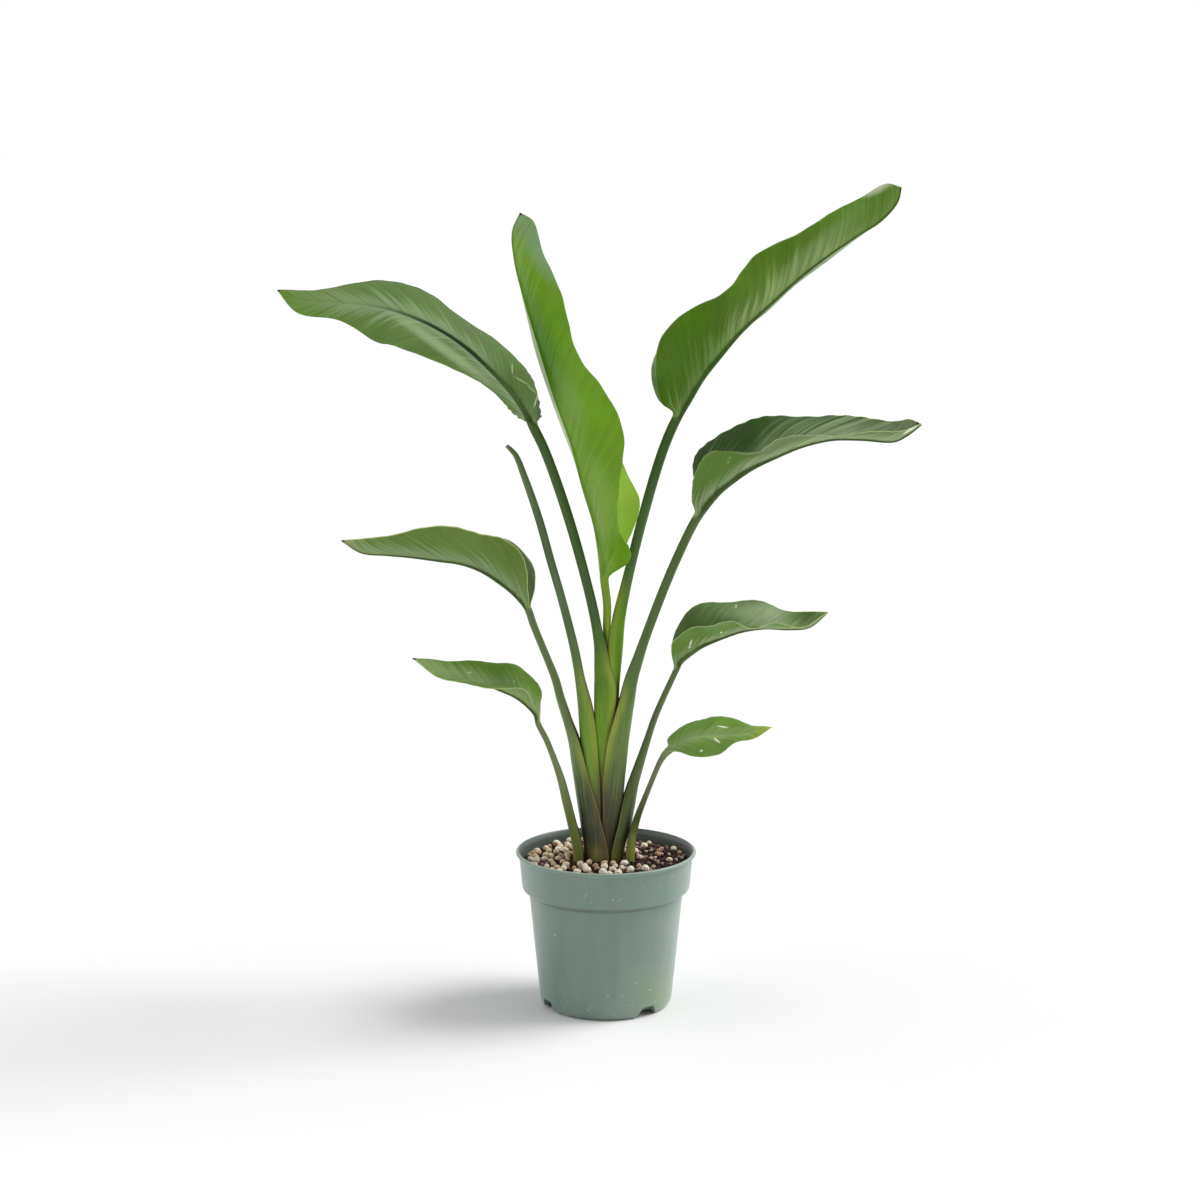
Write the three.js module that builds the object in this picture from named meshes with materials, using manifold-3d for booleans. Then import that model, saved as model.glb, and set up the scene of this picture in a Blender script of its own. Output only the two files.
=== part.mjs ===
// A young white bird of paradise in a round nursery pot: eight leaves and one leafless petiole
// stand as a fan in a pumice-dressed potting mix. Millimetres, +Z up, the fan spreads along X.
// The origin is the middle of the pot's base.
import * as THREE from "three";
import { mergeVertices } from "three/addons/utils/BufferGeometryUtils.js";
import Module from "manifold-3d";

const wasm = await Module();
wasm.setup();

// Nursery pot
const POT_HEIGHT = 140;
const POT_RIM_RADIUS = 80;
const POT_WALL = 1.7;
const POT_FLOOR = 2.4;
const POT_FOOT_RADIUS = 53.5;
const POT_BASE_RADIUS = 58.8;
const POT_CORNER_HEIGHT = 5.5;
const POT_BODY_RADIUS = 68.2;
const POT_COLLAR_BOTTOM = 105.5;
const POT_COLLAR_LOW_RADIUS = 74.4;
const POT_COLLAR_TOP_RADIUS = 77.2;
const POT_LIP_HEIGHT = 3.4;
const POT_ROUNDING = 1.5;
const POT_SIDES = 48;
const NOTCH_ANGLES = [-50, -154, 78]; // degrees round from +X
const NOTCH_WIDTH = 19;
const NOTCH_HEIGHT = 5.5;
const NOTCH_DEPTH = 8;

// Soil mix and its dressing of pumice granules
const GAP = 0.35;
const SOIL_EDGE_HEIGHT = 128.5;
const SOIL_CROWN = 4.5;
const SOIL_SIDES = 32;
const SOIL_RINGS = 2;
const HOLE_BOTTOM = 99.4;
const STEM_HOLES = [
  { x: -1.8, y: 0, radius: 19.2 },
  { x: -22.5, y: -9, radius: 9.2 },
  { x: 20, y: -9, radius: 8 },
];
const GRANULE_COUNT = 80;
const GRANULE_RADIUS = [2.6, 4];
const GRANULE_STRETCH = [1.15, 1, 0.9];
const GRANULE_RISE = 0.15; // height of a granule's middle above the mix, in its radii
const GRANULE_CLEARANCE = 1;
const GRANULE_LEFT_SHARE = 1; // chance that a granule is kept at the left and the right of the pot
const GRANULE_RIGHT_SHARE = 0.25;
const GRANULE_SEED = 2017;

const SOIL_TOP_RADIUS = 74.2;

// Leaves
const BLADE_THICKNESS = 0.8;
const SHEATH_WALL = 1.8;
const SHEATH_EDGE_THINNING = 0.35;
const CLOSING_LENGTH = 35; // over which an open sheath closes into a petiole
const PETIOLE_GROOVE_DEPTH = 0.42; // of its radius, measured back from the petiole's middle
const PETIOLE_EDGE = 0.25; // thickness of a closed petiole's edges, in its radii
const RIB_DEPTH = 0.75; // of the midrib's ridge at the blade's base, in petiole radii
const RIB_TAPER = 0.85; // share of that depth lost by the tip
const RIB_SHOULDER = 0.25; // share of the ridge's depth one column out from the midrib
const HALF_COLUMNS = 4;
const BLADE_COLUMNS = [0, 0.1, 0.38, 0.7, 1];
const BLADE_BASE_STEPS = [0.4, 0.7, 1, 1.5]; // rings between the last stem station and row 2
const BLADE_TIP_STEPS = [0.55, 0.93]; // rings past the last row

// Each stem station is [x, y, z, radius, wrap]: the middle of the sheath's or petiole's round
// back, its radius, and the angle each way that it wraps; swings are how far each station's back
// is turned towards the near side, in degrees. Each blade row is [near margin,
// midrib, far margin], and near is the -Y side. side is -1 for a leaf that leans left.
const LEAVES = {
  leaf_centre: {
    side: -1,
    stalk: 4.4,
    sheathTop: 0,
    stem: [
      [-2.2, 0, 100, 3.1, 135], [-2.2, 0, 200, 3.2, 135], [0, 0, 250, 3.6, 135], [2.2, 0.6, 300, 3.8, 135],
      [2.2, 3, 322, 3.9, 135], [1.2, 3, 340, 4, 135], [1.5, -2, 362, 4.2, 135], [-1, -5, 384, 4.3, 135],
    ],
    rows: [
      [[21, -24, 407], [-2.5, -6, 400.5], [18.5, 17, 413]],
      [[11, -50, 438.5], [-8, -8, 433], [29.5, 26, 447.5]],
      [[12, -57, 479.5], [-18, -11, 466.5], [19.5, 28, 472.5]],
      [[13.5, -56, 518.5], [-28.5, -14, 504.5], [5, 33, 504]],
      [[-1.5, -62, 556.5], [-42, -17, 542.5], [-15, 32, 548]],
      [[-23.5, -65, 589], [-55, -20, 584.5], [-34, 28, 583.5]],
      [[-38.5, -59, 636], [-67.5, -23, 626], [-48.5, 17, 631]],
      [[-53, -51, 670], [-76.5, -26, 661], [-61, 2, 668]],
      [[-62.5, -40, 694], [-78.5, -28, 686.5], [-68, -12, 692]],
    ],
    tip: [-72, -30, 702.5],
    bulge: [-0.12, -0.66],
    farSwell: 0.5,
    wave: { depth: 2.5, count: 3, phase: 0.3 },
    colour: 0x6a9a34,
  },
  leaf_upper_right: {
    side: 1,
    stalk: 4.8,
    sheathTop: 355,
    stem: [
      [-2.2, 0, 100, 5, 125], [-2.2, 0, 140, 5, 125], [-2.2, 0, 185, 5, 125], [-1, 0, 213, 5.4, 122],
      [1.4, 0, 240, 6, 118], [4, 0, 272, 6.9, 110], [5.2, 0.3, 293, 7, 110], [7.6, 0.5, 320, 7.1, 118],
      [10.6, 3, 347, 6.2, 126], [18, 8, 382, 5.2, 135], [31, 10, 435, 5, 135], [49, 12, 496, 4.9, 135],
      [60, 13, 522, 4.8, 135],
    ],
    swings: [0, 0, 0, 0, 0, 6, 16, 34, 30, 10, 0, 0, 0],
    rows: [
      [[45.5, -6, 543.5], [71, 14, 540], [43.5, 30, 542]],
      [[42, -14, 568.5], [82.5, 17, 558.5], [39.5, 46, 564]],
      [[47.5, -12, 595], [96.5, 21, 575.5], [48.5, 60, 583]],
      [[67.5, -12, 618.5], [116, 26, 598], [74.5, 72, 608.5]],
      [[103, -12, 637.5], [140.5, 32, 620.5], [105.5, 82, 623.5]],
      [[129, -2, 664.5], [168, 38, 644.5], [134.5, 85, 653.5]],
      [[161, 11, 682], [194.5, 44, 664], [167, 85, 673.5]],
      [[192, 28, 699.5], [219.5, 50, 680], [198.5, 80, 692]],
      [[220, 44, 711.5], [241, 55, 693.5], [225.5, 74, 708]],
      [[243.5, 54, 724], [254, 57, 708.5], [245.5, 66, 721]],
    ],
    tip: [257, 58, 721],
    bulge: [-0.1, -0.62],
    farSwell: -0.45,
    wave: { depth: 3, count: 3.5, phase: 2.2 },
    colour: 0x4e7d2c,
  },
  leaf_upper_left: {
    side: -1,
    stalk: 4.5,
    sheathTop: 360,
    stem: [
      [-2.4, 0, 100, 7.2, 120], [-2.4, 0, 140, 7.2, 120], [-2.6, 0, 185, 7, 120], [-2.8, 0, 204, 7.6, 120],
      [-2.2, 0, 222, 8.3, 122], [-1.4, 0, 239, 9.2, 124], [-0.2, 0, 258, 10.4, 126],
      [1, 0, 276, 11.6, 128], [0.8, 0, 291, 11.4, 127], [-1.6, 0, 306, 9, 120], [-3.4, 0, 321, 7.2, 118],
      [-6.4, 0, 335, 5.4, 126], [-13, -1, 366, 4.6, 135], [-32, -3, 437, 4.5, 135],
      [-53, -5, 498, 4.3, 135], [-62, -6, 517, 4.3, 135],
    ],
    rows: [
      [[-56, -20, 532], [-69, -6, 532], [-77, 6, 526.5]],
      [[-62, -35, 564], [-81.5, -8, 550], [-94, 18, 541]],
      [[-83, -49, 586], [-104, -12, 574.5], [-120, 23, 558.5]],
      [[-116, -60, 613.5], [-130.5, -17, 597], [-146, 22, 573.5]],
      [[-147, -62, 639], [-161.5, -23, 614], [-181.5, 12, 585]],
      [[-182, -66, 646], [-191.5, -30, 624], [-196, -2, 590]],
      [[-217.5, -66, 644.5], [-223, -37, 628], [-226, -16, 611.5]],
      [[-248.5, -59, 640], [-254, -42, 630.5], [-261.5, -34, 618.5]],
    ],
    tip: [-277, -46, 639],
    bulge: [0.1, 0.08],
    wave: { depth: 2.5, count: 3, phase: 1.1 },
    colour: 0x73925c,
  },
  leaf_mid_right: {
    side: 1,
    stalk: 4.8,
    sheathTop: 320,
    stem: [
      [-1.6, 0, 100, 13, 96], [-1.6, 0, 140, 13, 96], [-0.3, 0, 167, 13.6, 101], [1.2, 0, 185, 14, 106],
      [2.3, 0, 204, 14.4, 111], [4.4, 0, 222, 14.2, 113], [6.5, -1, 240, 13.8, 112],
      [10.4, -2, 258, 12.4, 110], [16, -3, 277, 9.5, 117], [20.8, -4, 295, 7.2, 128],
      [27, -5, 313, 5.6, 135], [33, -5, 331, 4.8, 135], [46, -7, 367, 4.6, 135], [60, -9, 402, 4.5, 135],
      [77, -11, 438, 4.4, 135],
    ],
    rows: [
      [[73.5, -29, 462.5], [88.5, -12, 454], [76, 5, 465]],
      [[73.5, -44, 480], [97.5, -15, 464.5], [76, 16, 481]],
      [[82.5, -57, 495.5], [109.5, -18, 474.5], [83, 20, 496]],
      [[95.5, -66, 506], [125, -22, 485.5], [97, 17, 510]],
      [[126.5, -74, 506.5], [145.5, -27, 496], [124.5, 15, 519.5]],
      [[149, -76, 515], [167, -32, 505.5], [152.5, 6, 527]],
      [[184, -75, 521.5], [192, -38, 512], [185, -4, 529]],
      [[211, -72, 521], [217.5, -43, 512.5], [216, -16, 526.5]],
      [[238.5, -66, 520.5], [244, -48, 511.5], [244.5, -31, 527]],
      [[254, -59, 523.5], [255, -50.5, 517], [257, -42, 529.4]],
    ],
    tip: [267, -51, 526.2],
    bulge: [0.1, 0.08],
    wave: { depth: 3, count: 4, phase: 0.6 },
    colour: 0x567f45,
  },
  leaf_mid_left: {
    side: -1,
    stalk: 3.6,
    sheathTop: 280,
    stem: [
      [-2.2, 0, 100, 17.4, 104], [-2.2, 0, 140, 17.4, 104], [-7.2, 0, 167, 15.9, 102],
      [-11.1, 0, 185, 14.6, 101], [-14.8, 1, 203, 13.6, 94], [-19, 2, 221, 12, 93],
      [-24.2, 3, 239, 9.4, 95], [-31.8, 4, 257, 6.3, 105], [-39, 5, 275, 4.5, 130], [-44, 6, 293, 4, 135],
      [-51, 7, 311, 3.6, 135], [-58, 8, 328, 3.5, 135], [-64, 9, 343, 3.5, 135],
      [-68, 9.5, 355, 3.5, 135],
    ],
    rows: [
      [[-68, -4, 375], [-72.5, 10, 361.5], [-62.5, 23, 374]],
      [[-68.5, -10, 391], [-82, 12, 371], [-63, 34, 386.5]],
      [[-75, -8, 408.5], [-94, 15, 379.5], [-69.5, 45, 396]],
      [[-90, -4, 421.5], [-109.5, 19, 388.5], [-86, 53, 410]],
      [[-109.5, -1, 425], [-127.5, 24, 394], [-112.5, 59, 413]],
      [[-137, 8, 429], [-148.5, 29, 396], [-140, 61, 418.5]],
      [[-164, 17, 426.5], [-171, 34, 398], [-167, 61, 417]],
      [[-189, 25, 419.5], [-193, 39, 399], [-192, 60, 412]],
      [[-214.5, 34, 414.5], [-217, 43, 400.5], [-216.5, 56, 410.5]],
    ],
    tip: [-235, 46, 411],
    bulge: [-0.1, -0.4],
    wave: { depth: 2, count: 3, phase: 2.6 },
    colour: 0x53803a,
  },
  leaf_low_right: {
    side: 1,
    stalk: 3.4,
    sheathTop: 225,
    stem: [
      [1, -1, 100, 15, 75], [1, -1, 138, 15, 75], [12, 0, 167, 11.4, 94], [15, 0, 176, 10, 102],
      [18, 1, 185, 8.6, 112], [21, 2, 194, 7, 122], [24, 2, 203, 5.8, 128], [30, 3, 221, 4.6, 132],
      [36, 4, 239, 3.6, 135], [42, 6, 257, 3.3, 135], [49, 7, 274, 3.1, 135], [56, 9, 289, 3, 135],
      [61, 9, 300, 3, 135],
    ],
    rows: [
      [[57.5, -2, 320.5], [65, 10, 308], [58.5, 24, 318]],
      [[59.5, -8, 330.5], [72.5, 12, 314], [62.5, 32, 335.5]],
      [[73, -12, 344.5], [84.5, 15, 321.5], [72, 39, 346.5]],
      [[92.5, -12, 342.5], [100.5, 19, 327.5], [91, 48, 354.5]],
      [[111, -6, 349], [119.5, 24, 333], [114, 54, 355.5]],
      [[129.5, 2, 339.5], [141, 29, 335], [138, 57, 352.5]],
      [[150.5, 14, 341.5], [161.5, 34, 333], [160, 55, 347]],
      [[175.5, 28, 337], [181, 38, 334], [181.5, 49, 346]],
    ],
    tip: [198, 42, 347],
    bulge: [0.1, 0.12],
    wave: { depth: 2.5, count: 3.5, phase: 4.2 },
    colour: 0x58834a,
  },
  leaf_low_left: {
    side: -1,
    stalk: 2.9,
    sheathTop: 228,
    stem: [
      [-22, -9, 100, 7.5, 102], [-22, -9, 142, 7.5, 102], [-29, -9, 169, 5.8, 112], [-34, -11, 188, 5, 122],
      [-39, -12, 207, 4, 130], [-45, -14, 225, 3.1, 135], [-52, -17, 244, 2.8, 135],
      [-59, -21, 259, 2.7, 135],
    ],
    rows: [
      [[-58.5, -32, 272.5], [-61, -24, 268], [-57, -18, 275.5]],
      [[-63.5, -46, 283.5], [-68, -27, 277], [-57, -8, 284]],
      [[-70.5, -54, 295.5], [-78.5, -31, 286], [-63, -6, 296]],
      [[-84, -63, 301], [-93, -36, 293.5], [-78, -10, 310.5]],
      [[-104.5, -67, 302], [-108.5, -42, 300.5], [-100.5, -15, 311.5]],
      [[-126, -67, 305], [-125.5, -48, 305], [-120.5, -28, 317.5]],
      [[-142, -66, 310], [-141.5, -53, 312.5], [-138.5, -38, 319.5]],
      [[-154.5, -64, 317.5], [-154, -57, 319], [-154, -50, 323]],
    ],
    tip: [-166, -60, 326],
    bulge: [0.1, 0.12],
    wave: { depth: 1.6, count: 3, phase: 1.7 },
    colour: 0x5c8a40,
  },
  leaf_lowest_right: {
    side: 1,
    stalk: 2.7,
    sheathTop: 190,
    stem: [
      [19.8, -9, 100, 6, 105], [19.8, -9, 144, 6, 105], [26.4, -10, 170, 3.8, 125],
      [33.4, -13, 189, 2.8, 135], [40.4, -17, 208, 2.5, 135], [48, -22, 227, 2.6, 135],
      [54, -26, 236, 3.4, 135],
    ],
    rows: [
      [[63, -39, 238.5], [62, -30, 241], [54.5, -19, 247]],
      [[73, -49, 237.5], [72, -33, 248.5], [65, -16, 254]],
      [[84.5, -56, 237.5], [81.5, -36, 251.5], [81.5, -15, 261.5]],
      [[97, -62, 242.5], [94, -40, 253.5], [91.5, -20, 266]],
      [[109, -64, 251.5], [107.5, -44, 254.5], [110.5, -26, 264.5]],
      [[123.5, -61, 254], [121.5, -48, 257.5], [125, -36, 262.5]],
      [[133, -57, 258], [132.5, -51, 261], [134, -46, 263]],
    ],
    tip: [143, -54, 264],
    bulge: [0.12, 0.12],
    wave: { depth: 1.4, count: 3, phase: 0.9 },
    colour: 0x5f8f48,
  },
  cut_petiole: {
    side: -1,
    stalk: 4.2,
    sheathTop: 300,
    stem: [
      [-2.6, 0, 100, 12.8, 84], [-2.6, 0, 140, 12.8, 84], [-6, 0, 167, 12.1, 96], [-8.5, 0, 185, 11.6, 108],
      [-11.1, 0, 204, 11.4, 122], [-11.6, 1, 221, 11.2, 118], [-12.2, 2, 239, 10.8, 116],
      [-16.1, 3, 266, 8.6, 124], [-21.9, 4, 293, 5.4, 132], [-27, 5, 320, 4.6, 135], [-38, 7, 364, 4.2, 135],
      [-48, 9, 399, 4.1, 135], [-58, 11, 435, 4, 135], [-71, 13, 473, 3.4, 135], [-79, 15, 492, 2.7, 135],
      [-86.6, 16, 499.5, 1.9, 135],
    ],
    colour: 0x5b7358,
  },
};

const STRAIGHT_ACROSS = new THREE.Vector3(0, 1, 0);

const toVector = ([x, y, z]) => new THREE.Vector3(x, y, z);

// A repeatable random number from 0 to 1.
function makeRandom(seed) {
  let state = seed;
  return () => {
    state = (state * 1664525 + 1013904223) % 4294967296;
    return state / 4294967296;
  };
}

function toSolid(geometry) {
  const bare = new THREE.BufferGeometry().setAttribute("position", geometry.getAttribute("position"));
  if (geometry.index) bare.setIndex(geometry.index);
  const merged = mergeVertices(bare, 1e-4);
  return new wasm.Manifold(
    new wasm.Mesh({
      numProp: 3,
      vertProperties: new Float32Array(merged.getAttribute("position").array),
      triVerts: new Uint32Array(merged.index.array),
    }),
  );
}

function toGeometry(solid) {
  const mesh = solid.getMesh();
  const geometry = new THREE.BufferGeometry();
  geometry.setAttribute("position", new THREE.BufferAttribute(mesh.vertProperties, 3));
  geometry.setIndex(new THREE.BufferAttribute(mesh.triVerts, 1));
  return geometry;
}

function makeMesh(name, geometry, colour, roughness) {
  geometry.computeVertexNormals();
  const material = new THREE.MeshStandardMaterial({ color: colour, roughness, metalness: 0 });
  const mesh = new THREE.Mesh(geometry, material);
  mesh.name = name;
  return mesh;
}

// A lathe about +Z. The profile starts and ends on the axis and runs up the outside.
function latheAboutZ(profile, sides) {
  const points = profile.map(([radius, height]) => new THREE.Vector2(radius, height));
  return new THREE.LatheGeometry(points, sides).rotateX(Math.PI / 2);
}

function potOuterProfile() {
  const lipBottom = POT_HEIGHT - POT_LIP_HEIGHT;
  return [
    [0, 0],
    [POT_FOOT_RADIUS, 0],
    [(POT_FOOT_RADIUS + 2 * POT_BASE_RADIUS) / 3, 0.25 * POT_CORNER_HEIGHT],
    [POT_BASE_RADIUS, POT_CORNER_HEIGHT],
    [POT_BODY_RADIUS, POT_COLLAR_BOTTOM - 3 * POT_ROUNDING],
    [POT_BODY_RADIUS + POT_ROUNDING, POT_COLLAR_BOTTOM - POT_ROUNDING],
    [POT_COLLAR_LOW_RADIUS - POT_ROUNDING, POT_COLLAR_BOTTOM],
    [POT_COLLAR_LOW_RADIUS, POT_COLLAR_BOTTOM + POT_ROUNDING],
    [POT_COLLAR_TOP_RADIUS, lipBottom],
    [POT_RIM_RADIUS - 0.5 * POT_ROUNDING, lipBottom],
    [POT_RIM_RADIUS, lipBottom + POT_ROUNDING],
    [POT_RIM_RADIUS, POT_HEIGHT - 0.5 * POT_ROUNDING],
    [POT_RIM_RADIUS - POT_ROUNDING, POT_HEIGHT],
  ];
}

// The inner wall from the rim down to the floor's middle.
function potInnerProfile() {
  return [
    [POT_COLLAR_TOP_RADIUS, POT_HEIGHT],
    [POT_COLLAR_TOP_RADIUS - POT_WALL, POT_HEIGHT - POT_LIP_HEIGHT],
    [POT_COLLAR_LOW_RADIUS - POT_WALL, POT_COLLAR_BOTTOM + POT_WALL],
    [POT_BODY_RADIUS - POT_WALL, POT_COLLAR_BOTTOM - POT_WALL],
    [POT_BASE_RADIUS - POT_WALL, POT_CORNER_HEIGHT + 0.5 * POT_FLOOR],
    [POT_FOOT_RADIUS, POT_FLOOR],
    [0, POT_FLOOR],
  ];
}

// Each drainage notch cuts the corner where the wall meets the floor.
function makePot() {
  let pot = toSolid(latheAboutZ([...potOuterProfile(), ...potInnerProfile()], POT_SIDES));
  for (const degrees of NOTCH_ANGLES) {
    const angle = THREE.MathUtils.degToRad(degrees);
    const notch = new THREE.BoxGeometry(NOTCH_DEPTH, NOTCH_WIDTH, 2 * NOTCH_HEIGHT)
      .translate(POT_BASE_RADIUS - 1, 0, 0)
      .rotateZ(angle);
    pot = pot.subtract(toSolid(notch));
  }
  return makeMesh("pot", toGeometry(pot), 0x7f9688, 0.5);
}

function soilHeight(x, y) {
  const share = Math.hypot(x, y) / POT_COLLAR_TOP_RADIUS;
  return SOIL_EDGE_HEIGHT + SOIL_CROWN * Math.max(0, 1 - share * share);
}

// The mix is denser in granules on the left, and each granule is sunk in the mix.
function granuleSolids() {
  const random = makeRandom(GRANULE_SEED);
  const granules = [];
  const reach = SOIL_TOP_RADIUS - GRANULE_RADIUS[1];
  while (granules.length < GRANULE_COUNT) {
    const x = (2 * random() - 1) * reach;
    const y = (2 * random() - 1) * reach;
    const radius = THREE.MathUtils.lerp(...GRANULE_RADIUS, random());
    const turn = random() * Math.PI;
    const acrossPot = THREE.MathUtils.smoothstep(x, -reach, reach);
    const keep = random() < THREE.MathUtils.lerp(GRANULE_LEFT_SHARE, GRANULE_RIGHT_SHARE, acrossPot);
    const spaceTo = (other) => Math.hypot(x - other.x, y - other.y) - other.radius - radius;
    const inHole = STEM_HOLES.some((hole) => spaceTo(hole) < GRANULE_CLEARANCE);
    const crowded = granules.some((other) => spaceTo(other) < 0);
    if (!keep || inHole || crowded || Math.hypot(x, y) > reach) continue;
    const shape = new THREE.OctahedronGeometry(radius, 0)
      .scale(...GRANULE_STRETCH)
      .rotateX(turn)
      .rotateZ(2 * turn)
      .translate(x, y, soilHeight(x, y) + GRANULE_RISE * radius);
    granules.push({ x, y, radius, solid: toSolid(shape) });
  }
  return granules.map((granule) => granule.solid);
}

// A coarse lathe's flat sides cut inside the circle, so the mix keeps its gap from the finer pot.
function makeSoil() {
  const top = [];
  for (let i = 0; i <= SOIL_RINGS; i++) {
    const radius = SOIL_TOP_RADIUS * (1 - i / SOIL_RINGS);
    top.push([radius, soilHeight(radius, 0)]);
  }
  const sides = potInnerProfile()
    .slice(2, -1)
    .reverse()
    .map(([radius, height]) => [radius - 2 * GAP, height + GAP]);
  let soil = toSolid(latheAboutZ([[0, POT_FLOOR + GAP], ...sides, ...top], SOIL_SIDES));
  for (const hole of STEM_HOLES) {
    const depth = POT_HEIGHT - HOLE_BOTTOM;
    const bore = new THREE.CylinderGeometry(hole.radius, hole.radius, depth, SOIL_SIDES)
      .rotateX(Math.PI / 2)
      .translate(hole.x, hole.y, HOLE_BOTTOM + depth / 2);
    soil = soil.subtract(toSolid(bore));
  }
  for (const granule of granuleSolids()) soil = soil.add(granule);
  return makeMesh("soil_mix", toGeometry(soil), 0x5a4030, 0.95);
}

// The direction that a leaf's upper face looks in.
function adaxialNormal(side, along, across) {
  return new THREE.Vector3().crossVectors(along, across).multiplyScalar(side).normalize();
}

// One ring of a sheath or petiole: the round back from near edge to far edge, then the hollow
// face back again. The hollow fills up as the sheath closes into a petiole.
function stemRing(leaf, station, along, straightAcross) {
  const [x, y, z, radius, wrapDegrees, swingDegrees] = station;
  const middle = new THREE.Vector3(x, y, z);
  const straightBack = adaxialNormal(leaf.side, along, straightAcross).negate();
  const swing = THREE.MathUtils.degToRad(swingDegrees);
  const turn = (vector, other, sine) =>
    vector.clone().multiplyScalar(Math.cos(swing)).addScaledVector(other, sine);
  const back = turn(straightBack, straightAcross, -Math.sin(swing));
  const across = turn(straightAcross, straightBack, Math.sin(swing));
  const wrap = THREE.MathUtils.degToRad(wrapDegrees);
  const filled = THREE.MathUtils.smoothstep(z, leaf.sheathTop - CLOSING_LENGTH, leaf.sheathTop);
  const place = (alongBack, sideways) =>
    middle.clone().addScaledVector(back, alongBack).addScaledVector(across, sideways);
  const outer = [];
  const inner = [];
  for (let j = -HALF_COLUMNS; j <= HALF_COLUMNS; j++) {
    const share = j / HALF_COLUMNS;
    const angle = share * wrap;
    outer.push(place(radius * Math.cos(angle), radius * Math.sin(angle)));
    const wall = SHEATH_WALL * (1 - SHEATH_EDGE_THINNING * share * share);
    const hollow = place((radius - wall) * Math.cos(angle), (radius - wall) * Math.sin(angle));
    const edge = radius - PETIOLE_EDGE * leaf.stalk;
    const dip = THREE.MathUtils.lerp(-PETIOLE_GROOVE_DEPTH * radius, edge * Math.cos(wrap), share * share);
    inner.push(hollow.lerp(place(dip, share * edge * Math.sin(wrap)), filled));
  }
  return [...outer, ...inner.reverse()];
}

// Points, and their upper-face normals, across half a blade from midrib to margin.
function halfBlade(leaf, midrib, margin, along, bulge, towardFar, lift) {
  const span = margin.clone().sub(midrib);
  const width = span.length();
  const face = adaxialNormal(leaf.side, along, span.clone().multiplyScalar(towardFar));
  const control = midrib.clone().addScaledVector(span, 0.5).addScaledVector(face, bulge * width);
  return BLADE_COLUMNS.map((share) => {
    const point = midrib.clone().multiplyScalar((1 - share) ** 2);
    point.addScaledVector(control, 2 * share * (1 - share)).addScaledVector(margin, share ** 2);
    const slope = control.clone().sub(midrib).multiplyScalar(1 - share);
    slope.addScaledVector(margin.clone().sub(control), share).multiplyScalar(towardFar);
    const normal = adaxialNormal(leaf.side, along, slope);
    point.addScaledVector(normal, lift * share ** 2);
    return { point, normal };
  });
}

// One ring of the blade: the back with the midrib's ridge, then the upper face.
function bladeRing(leaf, curves, rowShare) {
  const rowCount = leaf.rows.length + 1;
  const progress = rowShare / rowCount;
  const spineShare = (leaf.stem.length - 1 + rowShare) / (leaf.stem.length - 1 + rowCount);
  const midrib = curves.spine.getPoint(spineShare);
  const along = curves.spine.getTangent(spineShare);
  const swell = leaf.wave.depth * Math.sin(Math.PI * progress);
  const turn = 2 * Math.PI * leaf.wave.count * progress + leaf.wave.phase;
  const farBulge = leaf.bulge[1] * (1 + (leaf.farSwell ?? 0) * (1 - 2 * progress));
  const near = halfBlade(
    leaf, midrib, curves.near.getPoint(progress), along, leaf.bulge[0], -1, swell * Math.sin(turn),
  );
  const far = halfBlade(
    leaf, midrib, curves.far.getPoint(progress), along, farBulge, 1, swell * Math.cos(turn),
  );
  const crest = near[0].normal.clone().add(far[0].normal).normalize();
  const samples = [...near.slice(1).reverse(), { point: midrib, normal: crest }, ...far.slice(1)];
  const ridge = RIB_DEPTH * leaf.stalk * (1 - RIB_TAPER * progress);
  const outer = [];
  const inner = [];
  samples.forEach(({ point, normal }, index) => {
    const column = Math.abs(index - HALF_COLUMNS);
    const rib = column === 0 ? ridge : column === 1 ? RIB_SHOULDER * ridge : 0;
    outer.push(point.clone().addScaledVector(normal, -BLADE_THICKNESS / 2 - rib));
    inner.push(point.clone().addScaledVector(normal, BLADE_THICKNESS / 2));
  });
  return [...outer, ...inner.reverse()];
}

// The same diagonal splits each square on both faces, and each end is closed across.
function loftRings(rings, side) {
  const count = rings[0].length;
  const positions = rings.flat().flatMap((point) => [point.x, point.y, point.z]);
  const index = [];
  const addQuad = (a, b, c, d) => index.push(a, b, c, a, c, d);
  for (let i = 0; i + 1 < rings.length; i++) {
    for (let j = 0; j < count; j++) {
      const next = (j + 1) % count;
      const [a, b] = [i * count + j, i * count + next];
      const onBack = j < count / 2 - 1 || j === count - 1;
      if (onBack) addQuad(a, b, b + count, a + count);
      else addQuad(b, b + count, a + count, a);
    }
  }
  const last = (rings.length - 1) * count;
  for (let j = 0; j < count / 2 - 1; j++) {
    const mirror = count - 1 - j;
    addQuad(j, mirror, mirror - 1, j + 1);
    addQuad(last + j, last + j + 1, last + mirror - 1, last + mirror);
  }
  if (side < 0) index.reverse();
  const geometry = new THREE.BufferGeometry();
  geometry.setAttribute("position", new THREE.Float32BufferAttribute(positions, 3));
  geometry.setIndex(index);
  return geometry;
}

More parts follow.
